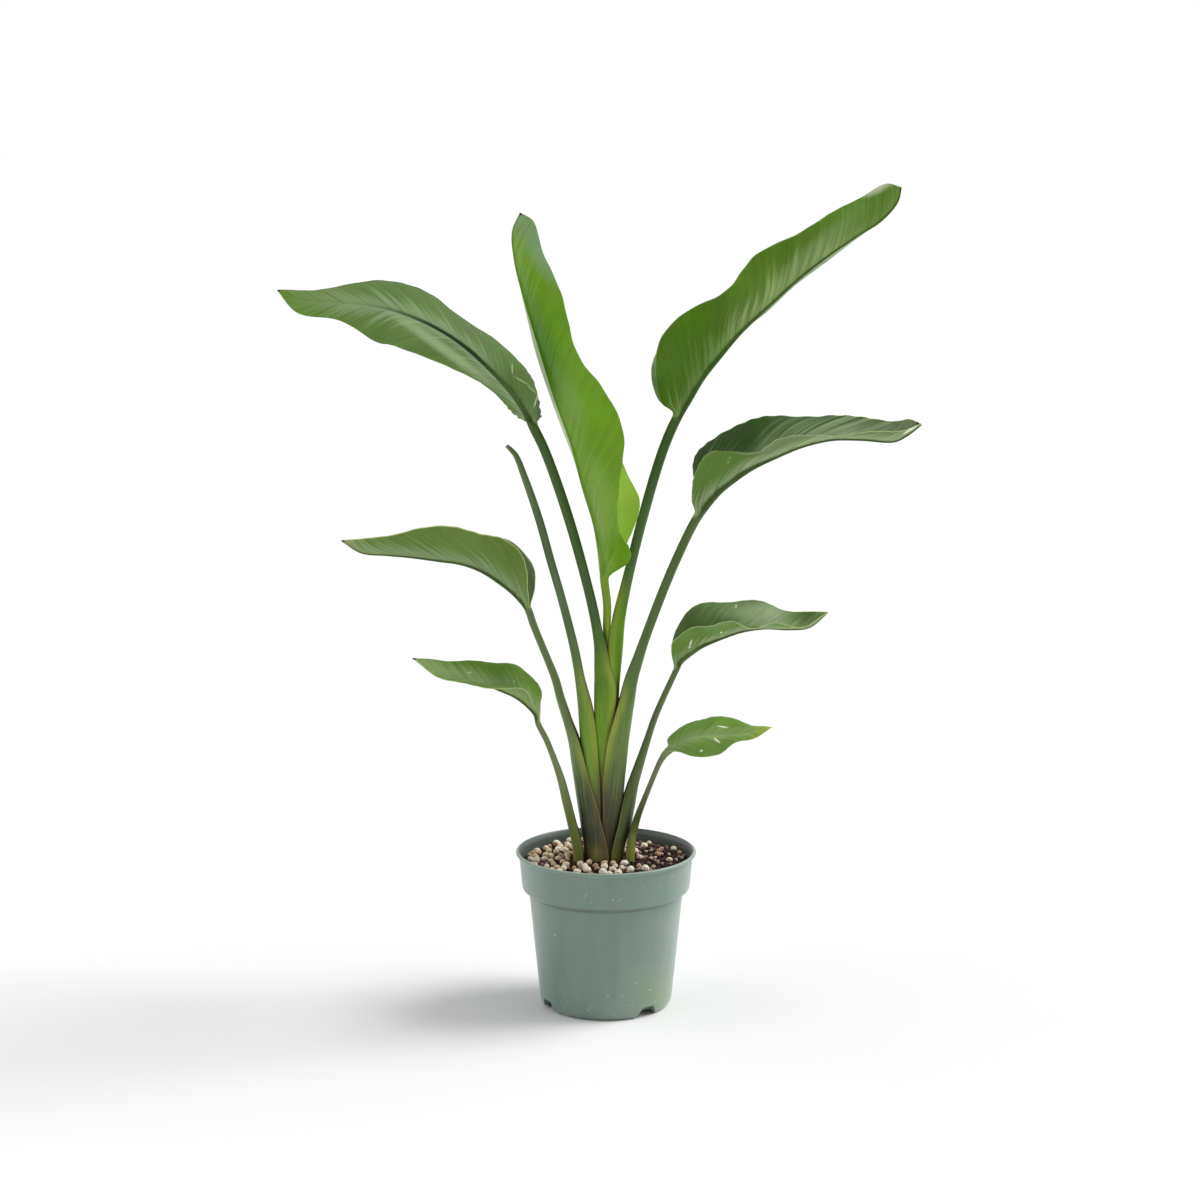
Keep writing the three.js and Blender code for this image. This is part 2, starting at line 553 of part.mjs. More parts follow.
function makeLeafGeometry(leaf) {
  const rows = leaf.rows ?? [];
  const stemPoints = leaf.stem.map(toVector);
  const bladePoints = rows.length ? [...rows.map((row) => toVector(row[1])), toVector(leaf.tip)] : [];
  const spine = new THREE.CatmullRomCurve3([...stemPoints, ...bladePoints]);
  const spans = spine.points.length - 1;
  const bladeAcross = rows.length
    ? toVector(rows[0][2]).sub(toVector(rows[0][0])).normalize()
    : STRAIGHT_ACROSS;
  const rings = leaf.stem.map((station, i) => {
    const along = spine.getTangent(i / spans);
    const turned = (i / (leaf.stem.length - 1)) ** 3;
    const across = STRAIGHT_ACROSS.clone().lerp(bladeAcross, turned);
    across.addScaledVector(along, -across.dot(along)).normalize();
    return stemRing(leaf, [...station, leaf.swings?.[i] ?? 0], along, across);
  });
  if (rows.length) {
    const top = rings.at(-1);
    const margin = (edge, column) =>
      new THREE.CatmullRomCurve3([edge, ...rows.map((row) => toVector(row[column])), toVector(leaf.tip)]);
    const curves = { spine, near: margin(top[0], 0), far: margin(top[2 * HALF_COLUMNS], 2) };
    const steps = [...BLADE_BASE_STEPS];
    for (let row = 2; row <= rows.length; row++) steps.push(row);
    for (const step of BLADE_TIP_STEPS) steps.push(rows.length + step);
    for (const step of steps) rings.push(bladeRing(leaf, curves, step));
  }
  return loftRings(rings, leaf.side);
}

const plant = new THREE.Group();
plant.add(makePot(), makeSoil());
for (const [name, leaf] of Object.entries(LEAVES)) {
  plant.add(makeMesh(name, makeLeafGeometry(leaf), leaf.colour, 0.45));
}

export default plant;
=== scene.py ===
"""Potted white bird of paradise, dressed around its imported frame.

A round nursery pot holds a peaty mix under a dressing of pumice. Eight leaves and one cut
petiole rise from it as a fan. Sizes are in millimetres, in the frame's own axes, and angles
are in degrees. A noise's scale is its count per metre. A span runs from where an effect has
faded out to where it is full.
"""

from __future__ import annotations

import logging
import math
from collections.abc import Mapping, Sequence
from dataclasses import dataclass
from enum import Enum

import bpy
import numpy as np
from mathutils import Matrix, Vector, noise

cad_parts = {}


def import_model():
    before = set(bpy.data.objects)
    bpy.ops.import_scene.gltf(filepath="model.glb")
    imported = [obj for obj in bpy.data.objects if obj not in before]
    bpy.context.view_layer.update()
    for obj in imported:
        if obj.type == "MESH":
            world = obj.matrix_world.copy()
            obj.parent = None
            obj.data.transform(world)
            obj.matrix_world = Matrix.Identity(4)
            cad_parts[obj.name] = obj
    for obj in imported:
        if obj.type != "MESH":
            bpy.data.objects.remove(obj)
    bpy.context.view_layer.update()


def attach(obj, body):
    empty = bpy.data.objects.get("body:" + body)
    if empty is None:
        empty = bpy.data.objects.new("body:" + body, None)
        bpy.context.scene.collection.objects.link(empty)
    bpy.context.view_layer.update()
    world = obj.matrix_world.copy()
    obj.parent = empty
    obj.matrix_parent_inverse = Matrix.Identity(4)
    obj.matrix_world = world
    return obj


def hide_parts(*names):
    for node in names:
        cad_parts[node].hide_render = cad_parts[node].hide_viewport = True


LOG = logging.getLogger("potted_plant")
MM = 0.001
BODY = "root"

Colour = tuple[float, float, float, float]
Place = tuple[float, float, float]
Span = tuple[float, float]
Outline = Sequence[tuple[float, float]]
Station = tuple[float, float, float, float, float]
Row = tuple[Place, Place, Place]
Face = tuple[int, ...]
Array = np.ndarray
Mesh = bpy.types.Mesh
Piece = bpy.types.Object
Socket = bpy.types.NodeSocket
Material = bpy.types.Material
Settings = Mapping[str, object]
Sockets = Mapping[int | str, object]


def linear(value: float) -> float:
    """Undo the display curve of one channel, 0 to 255."""
    share = value / 255
    return share / 12.92 if share <= 0.04045 else ((share + 0.055) / 1.055) ** 2.4


def srgb(red: float, green: float, blue: float) -> Colour:
    """Turn a colour as it is seen, 0 to 255, into linear light."""
    return (linear(red), linear(green), linear(blue), 1.0)


def unit(vector: Array) -> Array:
    """Scale a vector to length one."""
    return vector / max(float(np.linalg.norm(vector)), 1e-9)


def smooth_step(value: float, low: float, high: float) -> float:
    """Rise smoothly from 0 at low to 1 at high."""
    share = min(1.0, max(0.0, (value - low) / (high - low)))
    return share * share * (3 - 2 * share)


# Node trees


class NodeGraph:
    """A node tree that is filled by one method."""

    def __init__(self, tree: bpy.types.NodeTree) -> None:
        """Keep the tree and empty it."""
        self.tree = tree
        self.tree.nodes.clear()

    def node(
        self, kind: str, settings: Settings | None = None, sockets: Sockets | None = None
    ) -> bpy.types.Node:
        """Add one node.

        Args:
            kind: The node's type name.
            settings: Its own settings, set before its sockets; "stops" fills a colour ramp.
            sockets: Values, wires or sockets for its inputs, by name or number.

        Returns:
            The new node.
        """
        made = self.tree.nodes.new(kind)
        for key, value in (settings or {}).items():
            if key == "stops":
                self._set_stops(made.color_ramp, value)
            else:
                setattr(made, key, value)
        for key, value in (sockets or {}).items():
            self._feed(made.inputs[key], value)
        return made

    def _feed(self, socket: Socket, value: object) -> None:
        """Link something to an input, or set the input's value.

        Args:
            socket: The input.
            value: A wire or an output to link, or else a plain value.
        """
        if isinstance(value, Wire):
            value = value.socket
        if isinstance(value, Socket):
            self.tree.links.new(value, socket)
        else:
            socket.default_value = value

    @staticmethod
    def _set_stops(ramp: bpy.types.ColorRamp, stops: Sequence[tuple[float, Colour]]) -> None:
        """Give a ramp its stops.

        Args:
            ramp: The ramp, which has two stops at first.
            stops: A position and a colour for each stop.
        """
        while len(ramp.elements) < len(stops):
            ramp.elements.new(1.0)
        for element, (position, colour) in zip(ramp.elements, stops):
            element.position = position
            element.color = colour


class Wire:
    """A value on its way through a shader tree, for use in ordinary arithmetic."""

    def __init__(self, graph: ShaderGraph, socket: Socket) -> None:
        """Hold the graph and the output socket."""
        self.graph = graph
        self.socket = socket

    def __add__(self, other: Wire | float) -> Wire:
        """Return self + other."""
        return self.graph.maths("ADD", self, other)

    __radd__ = __add__

    def __sub__(self, other: Wire | float) -> Wire:
        """Return self - other."""
        return self.graph.maths("SUBTRACT", self, other)

    def __rsub__(self, other: Wire | float) -> Wire:
        """Return other - self."""
        return self.graph.maths("SUBTRACT", other, self)

    def __mul__(self, other: Wire | float) -> Wire:
        """Return self * other."""
        return self.graph.maths("MULTIPLY", self, other)

    __rmul__ = __mul__

    def __truediv__(self, other: Wire | float) -> Wire:
        """Return self / other."""
        return self.graph.maths("DIVIDE", self, other)

    def __pow__(self, other: Wire | float) -> Wire:
        """Return self raised to other."""
        return self.graph.maths("POWER", self, other)

    def ramp(self, low: float, high: float) -> Wire:
        """Rise smoothly from 0 at low to 1 at high; low may be the larger."""
        return self.graph.smooth_ramp(self, low, high)

    def over(self, limit: float) -> Wire:
        """Return 1 where self is over limit, or else 0."""
        return self.graph.maths("GREATER_THAN", self, limit)


class ShaderGraph(NodeGraph):
    """A shader tree that arithmetic on wires adds its nodes to."""

    def maths(self, operation: str, first: Wire | float, second: Wire | float) -> Wire:
        """Add a Math node and return its result."""
        made = self.node("ShaderNodeMath", {"operation": operation}, {0: first, 1: second})
        return Wire(self, made.outputs[0])

    def smooth_ramp(self, value: Wire, low: float, high: float) -> Wire:
        """Map a value onto 0 to 1 with eased ends.

        Args:
            value: The value.
            low: Where the result is 0.
            high: Where it is 1, which may be below low.

        Returns:
            The result.
        """
        made = self.node(
            "ShaderNodeMapRange",
            {"interpolation_type": "SMOOTHSTEP"},
            {"Value": value, "From Min": min(low, high), "From Max": max(low, high)},
        )
        rising = Wire(self, made.outputs["Result"])
        return 1 - rising if low > high else rising

    def attribute(self, name: str) -> Wire:
        """Read one number that the mesh stores at its points."""
        made = self.node("ShaderNodeAttribute", {"attribute_name": name})
        return Wire(self, made.outputs["Fac"])

    def position(self) -> Wire:
        """Return the object coordinates, in metres."""
        return Wire(self, self.node("ShaderNodeTexCoord").outputs["Object"])

    def part(self, vector: Wire, axis: str) -> Wire:
        """Return one component of a vector."""
        made = self.node("ShaderNodeSeparateXYZ", None, {"Vector": vector})
        return Wire(self, made.outputs[axis])

    def join(self, x: Wire | float, y: Wire | float, z: Wire | float) -> Wire:
        """Join three numbers in one vector."""
        made = self.node("ShaderNodeCombineXYZ", None, {"X": x, "Y": y, "Z": z})
        return Wire(self, made.outputs["Vector"])

    def stretch(self, vector: Wire, scale: Place) -> Wire:
        """Scale a vector along each axis."""
        made = self.node("ShaderNodeVectorMath", {"operation": "MULTIPLY"}, {0: vector, 1: scale})
        return Wire(self, made.outputs["Vector"])

    def noise(self, vector: Wire, scale: float, detail: float = 3.0, rough: float = 0.5) -> Wire:
        """Return a cloudy 0 to 1 pattern."""
        sockets = {"Vector": vector, "Scale": scale, "Detail": detail, "Roughness": rough}
        return Wire(self, self.node("ShaderNodeTexNoise", None, sockets).outputs[0])

    def cells(self, vector: Wire, scale: float) -> Wire:
        """Return the distance to the nearest of many scattered points."""
        made = self.node("ShaderNodeTexVoronoi", None, {"Vector": vector, "Scale": scale})
        return Wire(self, made.outputs["Distance"])

    def blend(self, share: Wire | float, first: Wire | Colour, second: Wire | Colour) -> Wire:
        """Mix two colours.

        Args:
            share: How much of the second there is, 0 to 1.
            first: The first colour.
            second: The second colour.

        Returns:
            The mixed colour.
        """
        settings = {"data_type": "RGBA", "clamp_factor": True}
        made = self.node("ShaderNodeMix", settings, {0: share, 6: first, 7: second})
        return Wire(self, made.outputs[2])

    def shade(self, colour: Wire, factor: Wire | float) -> Wire:
        """Multiply a colour by a number.

        Args:
            colour: The colour.
            factor: The number.

        Returns:
            The lighter or darker colour.
        """
        sockets = {0: colour, "Scale": factor}
        made = self.node("ShaderNodeVectorMath", {"operation": "SCALE"}, sockets)
        return Wire(self, made.outputs["Vector"])


class MaterialGraph(ShaderGraph):
    """The shader tree of one finish."""

    def __init__(self, name: str) -> None:
        """Make an empty material.

        Args:
            name: The material's name.
        """
        self.material = bpy.data.materials.new(name)
        self.material.use_nodes = True
        super().__init__(self.material.node_tree)

    def close(
        self,
        colour: Wire | Colour,
        roughness: Wire | float,
        relief: Wire | None = None,
        relief_depth: float = 0.0,
        constants: Settings | None = None,
    ) -> Material:
        """End the tree in a Principled shader.

        Args:
            colour: The base colour.
            roughness: The roughness.
            relief: The height that a Bump node reads, if there is one.
            relief_depth: What a height of 1 stands for.
            constants: Values set on the shader's other sockets.

        Returns:
            The finished material.
        """
        sockets: dict[int | str, object] = {"Base Color": colour, "Roughness": roughness}
        if relief is not None:
            heights = {"Distance": relief_depth * MM, "Height": relief}
            sockets["Normal"] = self.node("ShaderNodeBump", None, heights).outputs["Normal"]
        shader = self.node("ShaderNodeBsdfPrincipled", None, {**sockets, **(constants or {})})
        self.node("ShaderNodeOutputMaterial", None, {"Surface": shader.outputs["BSDF"]})
        return self.material


# Finishes


@dataclass(frozen=True)
class Clouds:
    """Cloudy noise."""

    scale: float
    detail: float = 3.0
    rough: float = 0.5

    def at(self, place: Wire) -> Wire:
        """Return the noise at a place, 0 to 1."""
        return place.graph.noise(place, self.scale, self.detail, self.rough)


@dataclass(frozen=True)
class Streaks:
    """Noise drawn out one way: spacing is across the streaks and length along them."""

    spacing: float
    length: float
    seed_shift: float
    detail: float
    rough: float = 0.5

    def at(self, aside: Wire, along: Wire, seed: float) -> Wire:
        """Return the streaks of the leaf with that seed, 0 to 1."""
        graph = aside.graph
        place = graph.join(aside / self.spacing, along / self.length, seed + self.seed_shift)
        return graph.noise(place, 1.0, self.detail, self.rough)


@dataclass(frozen=True)
class Stain:
    """A colour laid over another, where a measure lets it show."""

    colour: Colour
    fade: Span
    share: float = 1.0

    def strength(self, measure: Wire, mask: Wire | float = 1.0) -> Wire:
        """Return how strong it is inside a mask."""
        return measure.ramp(*self.fade) * mask * self.share

    def over(self, under: Wire | Colour, measure: Wire, mask: Wire | float = 1.0) -> Wire:
        """Lay it over a colour, inside a mask."""
        return measure.graph.blend(self.strength(measure, mask), under, self.colour)


class Half(Enum):
    """The part of a leaf that a mark may lie on."""

    NEAR = "near"
    FAR = "far"
    FAR_RIB = "far, beside the rib"
    BOTH = "both"


BESIDE_RIB: Span = (0.6, 0.3)  # across the far half
BLOOM_SOFTNESS = 0.7
BLOOM_RAGGED = 0.35


@dataclass(frozen=True)
class Mark:
    """One fleck, stain or bloom on a leaf, seen from the front.

    x and z are its middle, length and width its half sizes, tilt its turn from level and
    share how strong it is. Softness and ragged are shares of its half sizes.
    """

    x: float
    z: float
    length: float
    width: float
    tilt: float
    colour: Colour
    half: Half = Half.NEAR
    share: float = 1.0
    softness: float = 0.35
    ragged: float = 0.9

    def mask(self, x: Wire, z: Wire, across: Wire, grain: Wire) -> Wire:
        """Return the mark's strength: its share inside it and 0 outside it.

        Args:
            x: Object X in millimetres.
            z: Object Z in millimetres.
            across: -1 at the near margin to 1 at the far one.
            grain: Fine noise that breaks the mark's edge.

        Returns:
            The mark's strength.
        """
        turn = math.radians(self.tilt)
        right = x - self.x
        up = z - self.z
        along = (right * math.cos(turn) + up * math.sin(turn)) / self.length
        aside = (up * math.cos(turn) - right * math.sin(turn)) / self.width
        reach = (along * along + aside * aside) ** 0.5
        inside = (reach + (grain - 0.5) * self.ragged).ramp(1 + self.softness, 1 - self.softness)
        strength = inside * self.share
        if self.half is Half.BOTH:
            return strength
        far = across.over(0.0)
        if self.half is Half.FAR_RIB:
            return strength * far * across.ramp(*BESIDE_RIB)
        return strength * (far if self.half is Half.FAR else 1 - far)


def bloom(
    x: float,
    z: float,
    length: float,
    width: float,
    tilt: float,
    colour: Colour,
    half: Half = Half.BOTH,
    share: float = 0.6,
) -> Mark:
    """Return a mark with a wide soft edge, for a painted sheen, a painted glow or a shift of
    colour.
    """
    return Mark(x, z, length, width, tilt, colour, half, share, BLOOM_SOFTNESS, BLOOM_RAGGED)


@dataclass(frozen=True)
class BladeTexture:
    """The patterns and the surface that all leaves share."""

    clouds: Clouds = Clouds(20.0, 4.0)
    grain: Clouds = Clouds(300.0)
    pleats: Streaks = Streaks(6.5, 110, 0, 1)
    threads: Streaks = Streaks(1.5, 45, 7, 2, 0.6)
    cloud_shading: float = 0.5
    # How the painted sheen near the midrib frays into rays and fades out.
    thread_rays: float = 0.9
    painted_sheen_fade: Span = (0.05, 0.95)
    rib_fade: Span = (1.2, 0.75)
    rib_run_out: float = 0.15
    rib_upper_loss: float = 0.4
    margin_fade: Span = (1.5, 0.5)
    roughness_spread: float = 0.2
    stem_gloss: float = 0.1
    pleat_relief: float = 1.2
    thread_relief: float = 0.35
    grain_relief: float = 0.05
    relief_depth: float = 0.8
    specular: float = 0.16


@dataclass(frozen=True)
class StemTexture:
    """The patterns, stains, painted shade and painted sheen that all petioles and sheaths share."""

    streaks: Streaks = Streaks(1.4, 60, 0, 3, 0.6)
    patches: Streaks = Streaks(9, 30, 3, 3)
    stripes: Streaks = Streaks(2.6, 110, 9, 2, 0.6)
    patch_height: float = 60.0
    grain_shading: float = 0.2
    cloud_shading: float = 0.5
    petiole_about_top: Span = (-80, 35)
    sheath_about_top: Span = (5, -35)
    blush_fade: Span = (0.52, 0.7)
    blush_share: float = 0.14
    above_foot: Span = (160, 218)
    olive: Stain = Stain(srgb(142, 134, 72), (156, 138), 0.75)
    # Painted shade: dark streaks low on the sheaths, between these heights.
    painted_foot_shade: Stain = Stain(srgb(46, 50, 50), (0.38, 0.62))
    foot_shade_top: Span = (236, 190)
    foot_shade_bottom: Span = (140, 156)
    # Painted sheen: pale grey on the strongest of those streaks.
    painted_foot_sheen: Stain = Stain(srgb(132, 136, 130), (0.6, 0.72))
    strip_head: Stain = Stain(srgb(158, 176, 68), (185, 240))
    strip_width: Span = (9.5, 1.5)
    strip_streaks: Span = (0.2, 0.5)
    strip_share: float = 0.8
    paper: Stain = Stain(srgb(158, 132, 98), (1.1, 0.6), 0.55)
    dry_edge: Stain = Stain(srgb(84, 62, 46), (0.35, 0.12), 0.45)


PALE_SCAR = srgb(206, 220, 156)
WHITE_SCAR = srgb(240, 244, 214)
DEAD_TISSUE = srgb(58, 44, 38)


@dataclass(frozen=True)
class LeafFinish:
    """Colours of one leaf, from its foot in the mix to its tip."""

    back: Colour = srgb(94, 122, 50)
    upper: Colour = srgb(76, 102, 48)
    # Painted sheen: pale colour near the midrib of each face, reaching this far, frayed into rays
    # along the veins.
    painted_sheen_back: Colour = srgb(146, 166, 120)
    painted_sheen_upper: Colour = srgb(138, 157, 114)
    painted_sheen_share: float = 0.8
    painted_sheen_reach_back: float = 26.0
    painted_sheen_reach_upper: float = 36.0
    ray_contrast: float = 2.2
    pleat_share: float = 0.35
    thread_share: float = 0.25
    tip: Colour = srgb(110, 140, 50)
    tip_share: float = 0.35
    tip_start: float = 0.72
    rib_back: Colour = srgb(62, 84, 34)
    rib_upper: Colour = srgb(158, 182, 116)
    rib_share: float = 1.0
    rib_end: float = 1.3
    margin: Colour = srgb(188, 206, 134)
    margin_width: float = 0.5
    margin_share: float = 0.6
    petiole: Colour = srgb(76, 96, 50)
    blush: Colour = srgb(88, 82, 62)
    sheath: Colour = srgb(104, 126, 56)
    foot: Colour = srgb(72, 74, 50)
    sheath_top: float = 300.0
    # How strong the painted shade low on the sheath is.
    foot_shade_share: float = 0.0
    strip_foot: Colour = srgb(94, 86, 56)
    marks: tuple[Mark, ...] = ()
    roughness: float = 0.42
    seed: float = 0.0
    blade_texture: BladeTexture = BladeTexture()
    stem_texture: StemTexture = StemTexture()

    def material(self, name: str) -> Material:
        """Build the leaf's material.

        Args:
            name: The leaf's name.

        Returns:
            The material, which reads the numbers stored on the leaf's mesh.
        """
        look = self.blade_texture
        graph = MaterialGraph(f"{name}_tissue")
        place = graph.position()
        across = graph.attribute("across")
        blade = graph.attribute("blade")
        vein = graph.attribute("vein")
        reach = graph.attribute("reach")
        cloud = look.clouds.at(place)
        grain = look.grain.at(place)
        pleat = look.pleats.at(vein, reach, self.seed)
        thread = look.threads.at(vein, reach, self.seed)
        x, z = (graph.part(place, axis) / MM for axis in "XZ")
        stem = self._stem(z, vein, grain, cloud)
        lamina = self._lamina(reach, pleat, thread, cloud)
        colour = graph.blend(blade, stem, lamina)
        for mark in self.marks:
            colour = graph.blend(mark.mask(x, z, across, grain), colour, mark.colour)
        spread = (cloud - 0.5) * look.roughness_spread
        roughness = self.roughness + spread - (1 - blade) * look.stem_gloss
        veined = pleat * look.pleat_relief + thread * look.thread_relief
        relief = veined * blade + grain * look.grain_relief
        constants = {"Specular IOR Level": look.specular}
        return graph.close(colour, roughness, relief, look.relief_depth, constants)

    def _lamina(self, reach: Wire, pleat: Wire, thread: Wire, cloud: Wire) -> Wire:
        """Colour the blade: its faces, painted sheen near the midrib, veins, rib, margins and tip.

        Args:
            reach: How far from the midrib.
            pleat: The broad folds between veins.
            thread: The fine veins.
            cloud: Slow noise.

        Returns:
            The blade's colour.
        """
        look = self.blade_texture
        graph = reach.graph
        upper = graph.attribute("upper")
        along = graph.attribute("along")
        face = graph.blend(upper, self.back, self.upper)
        # Painted sheen: pale colour near the midrib, frayed into rays along the veins.
        rays = ((pleat - 0.5) + (thread - 0.5) * look.thread_rays) * self.ray_contrast
        painted_sheen = graph.blend(upper, self.painted_sheen_back, self.painted_sheen_upper)
        sheen_reach = upper * (self.painted_sheen_reach_upper - self.painted_sheen_reach_back) + self.painted_sheen_reach_back
        sheen_mask = (1 - reach / sheen_reach + rays).ramp(*look.painted_sheen_fade)
        sheened = graph.blend(sheen_mask * self.painted_sheen_share, face, painted_sheen)
        tipped = graph.blend(along.ramp(self.tip_start, 1.0) * self.tip_share, sheened, self.tip)
        swell = (pleat - 0.5) * self.pleat_share + (thread - 0.5) * self.thread_share
        shaded = graph.shade(tipped, 1 + swell + (cloud - 0.5) * look.cloud_shading)
        rib_mask = (reach / graph.attribute("rib")).ramp(*look.rib_fade)
        lasting = along.ramp(self.rib_end + look.rib_run_out, self.rib_end - look.rib_run_out)
        rib_colour = graph.blend(upper, self.rib_back, self.rib_upper)
        rib_strength = rib_mask * lasting * self.rib_share * (1 - upper * look.rib_upper_loss)
        ribbed = graph.blend(rib_strength, shaded, rib_colour)
        rim_widths = (self.margin_width * share for share in look.margin_fade)
        rim = graph.attribute("edge").ramp(*rim_widths)
        return graph.blend(rim * self.margin_share, ribbed, self.margin)

    def _stem(self, z: Wire, arc: Wire, grain: Wire, cloud: Wire) -> Wire:
        """Colour the petiole and the sheath that it widens into, with painted shade and painted
        sheen low on the sheath.

        Args:
            z: Height above the floor.
            arc: How far round the stem from the middle of its back.
            grain: Fine noise.
            cloud: Slow noise.

        Returns:
            The stem's colour.
        """
        look = self.stem_texture
        graph = z.graph
        edge = graph.attribute("edge")
        streak = look.streaks.at(arc, z, self.seed)
        patch = look.patches.at(arc, z, self.seed)
        stripe = look.stripes.at(arc, z, self.seed)
        height = z + (patch - 0.5) * look.patch_height
        bared = height.ramp(*(self.sheath_top + rise for rise in look.petiole_about_top))
        petiole = graph.blend(bared, self.sheath, self.petiole)
        blush = patch.ramp(*look.blush_fade) * look.blush_share
        blushed = graph.blend(blush, petiole, self.blush)
        low = graph.blend(height.ramp(*look.above_foot), self.foot, blushed)
        # Painted shade: dark streaks low on the sheath, where the stems crowd.
        shade_zone = height.ramp(*look.foot_shade_top) * z.ramp(*look.foot_shade_bottom) * self.foot_shade_share
        foot_shaded = look.painted_foot_shade.over(look.olive.over(low, height), stripe, shade_zone)
        # Painted sheen: pale grey on the strongest streaks of that shade.
        foot_sheened = look.painted_foot_sheen.over(foot_shaded, stripe, look.painted_foot_shade.strength(stripe, shade_zone))
        streaked = graph.shade(foot_sheened, 1 + (streak - 0.5) + (grain - 0.5) * look.grain_shading)
        clouded = graph.shade(streaked, 1 + (cloud - 0.5) * look.cloud_shading)
        sheathed = z.ramp(*(self.sheath_top + rise for rise in look.sheath_about_top))
        strip = look.strip_head.over(self.strip_foot, z)
        bordered = edge.ramp(*look.strip_width) * streak.ramp(*look.strip_streaks) * sheathed
        edged = graph.blend(bordered * look.strip_share, clouded, strip)
        return look.dry_edge.over(look.paper.over(edged, edge, sheathed), edge, sheathed)


@dataclass(frozen=True)
class PotPlastic:
    """Grey-green moulded polypropylene, a little scuffed and dusty with use.

    Each speck on its front is an x, a z and a radius, and its edge fades in multiples of that.
    """

    body: Colour = srgb(113, 135, 124)
    clouds: Clouds = Clouds(12.0, 4.0)
    dust: Stain = Stain(srgb(140, 156, 142), (0.42, 0.66), 0.35)
    brushed: Clouds = Clouds(60.0)
    brushed_stretch: Place = (1.0, 1.0, 0.1)
    shadow: Stain = Stain(srgb(94, 118, 112), (0.48, 0.72), 0.3)
    algae_patches: Clouds = Clouds(26.0, 2.0)
    algae: Stain = Stain(srgb(126, 146, 104), (0.44, 0.6), 0.45)
    algae_right: Span = (8, 44)
    algae_top: Span = (62, 22)
    lime_patches: Clouds = Clouds(60.0, 5.0, 0.62)
    lime: Stain = Stain(srgb(140, 156, 142), (0.54, 0.7), 0.35)
    lime_top: Span = (34, 6)
    scuff: Colour = srgb(226, 230, 216)
    fleck_scale: float = 150.0
    fleck_fade: Span = (0.14, 0.08)
    fleck_share: float = 0.25
    splashes: Clouds = Clouds(34.0, 2.0)
    splash_fade: Span = (0.55, 0.62)
    splash_top: Span = (36, 8)
    splash_collar: Span = (100, 112)
    splash_collar_share: float = 0.8
    splash_everywhere: float = 0.1
    specks: tuple[Place, ...] = (
        (57.5, 130.2, 0.9), (30.1, 132.4, 0.6), (5.9, 122.2, 0.6), (5.9, 115.8, 1.0),
        (10.3, 114.7, 0.8), (-44.7, 76.0, 1.1), (26.2, 34.6, 0.8), (38.7, 25.3, 1.1),
        (14.8, 23.7, 0.7), (1.7, 24.4, 0.9), (-15.8, 10.4, 1.0), (-13.2, 12.6, 0.7),
        (43.3, 12.2, 0.7), (-26.0, 20.5, 0.6), (-34.0, 15.0, 0.7), (20.8, 18.6, 0.6),
        (-4.2, 118.6, 0.5), (32.4, 126.1, 0.5),
    )
    speck_fade: Span = (1.1, 0.4)
    speck_share: float = 0.36
    collar_bottom: float = 105.5
    collar_slope: float = 0.09
    inside_wall: Span = (73.3, 72.7)
    above_step: Span = (105.5, 109.5)
    inside_lip: Span = (78.2, 77.6)
    lip_top: Span = (136.6, 137)
    # Painted shade: the inside wall above the mix, the inside of the lip and the crease under the
    # collar darken towards this colour.
    painted_shade: Colour = srgb(58, 68, 62)
    inside_shade_share: float = 0.85
    # Painted shade in the crease under the collar, between these heights.
    crease_top: Span = (106.9, 105.9)
    crease_bottom: Span = (100.5, 102.5)
    crease_shade_share: float = 0.6
    # Lighter along the top of the rim.
    pale_rim_top: Stain = Stain(srgb(168, 184, 168), (139, 139.8), 0.6)
    roughness: float = 0.42
    roughness_spread: float = 0.2
    lime_roughness: float = 0.4
    grain: Clouds = Clouds(700.0, 2.0)
    grain_relief: float = 0.2
    brushed_relief: float = 0.3
    cloud_relief: float = 1.2
    relief_depth: float = 0.16

    def material(self) -> Material:
        """Build the pot's material.

        Returns:
            The material.
        """
        graph = MaterialGraph("pot_plastic")
        place = graph.position()
        x, y, z = (graph.part(place, axis) / MM for axis in "XYZ")
        front = 1 - y.over(0.0)
        cloud = self.clouds.at(place)
        brushed = self.brushed.at(graph.stretch(place, self.brushed_stretch))
        grain = self.grain.at(place)
        toned = self.shadow.over(self.dust.over(self.body, cloud), brushed)
        damp = x.ramp(*self.algae_right) * z.ramp(*self.algae_top) * front
        tinted = self.algae.over(toned, self.algae_patches.at(place), damp)
        lime = self.lime.strength(self.lime_patches.at(place), z.ramp(*self.lime_top))
        limed = graph.blend(lime, tinted, self.lime.colour)
        flecked = graph.blend(self._flecks(place, z) * self.fleck_share, limed, self.scuff)
        specks = self._specks(x, z, grain) * front
        scuffed = graph.blend(specks * self.speck_share, flecked, self.scuff)
        colour = self._painted_shade_and_rim((x * x + y * y) ** 0.5, z, scuffed)
        roughness = self.roughness + (cloud - 0.5) * self.roughness_spread
        roughness = roughness + lime * self.lime_roughness
        relief = grain * self.grain_relief + brushed * self.brushed_relief
        relief = relief + cloud * self.cloud_relief
        constants = {
            "Specular IOR Level": 0.5,
            "Coat Weight": 0.12,
            "Coat Roughness": 0.3,
            "Sheen Weight": 0.3,
            "Sheen Roughness": 0.4,
        }
        return graph.close(colour, roughness, relief, self.relief_depth, constants)

    def _painted_shade_and_rim(self, radius: Wire, z: Wire, plain: Wire) -> Wire:
        """Darken the inside and the crease under the collar with painted shade, and lighten the top
        of the rim.

        Args:
            radius: Distance from the pot's axis.
            z: Height.
            plain: The colour so far.

        Returns:
            The colour with painted shade inside and under the collar, and a paler rim top.
        """
        graph = plain.graph
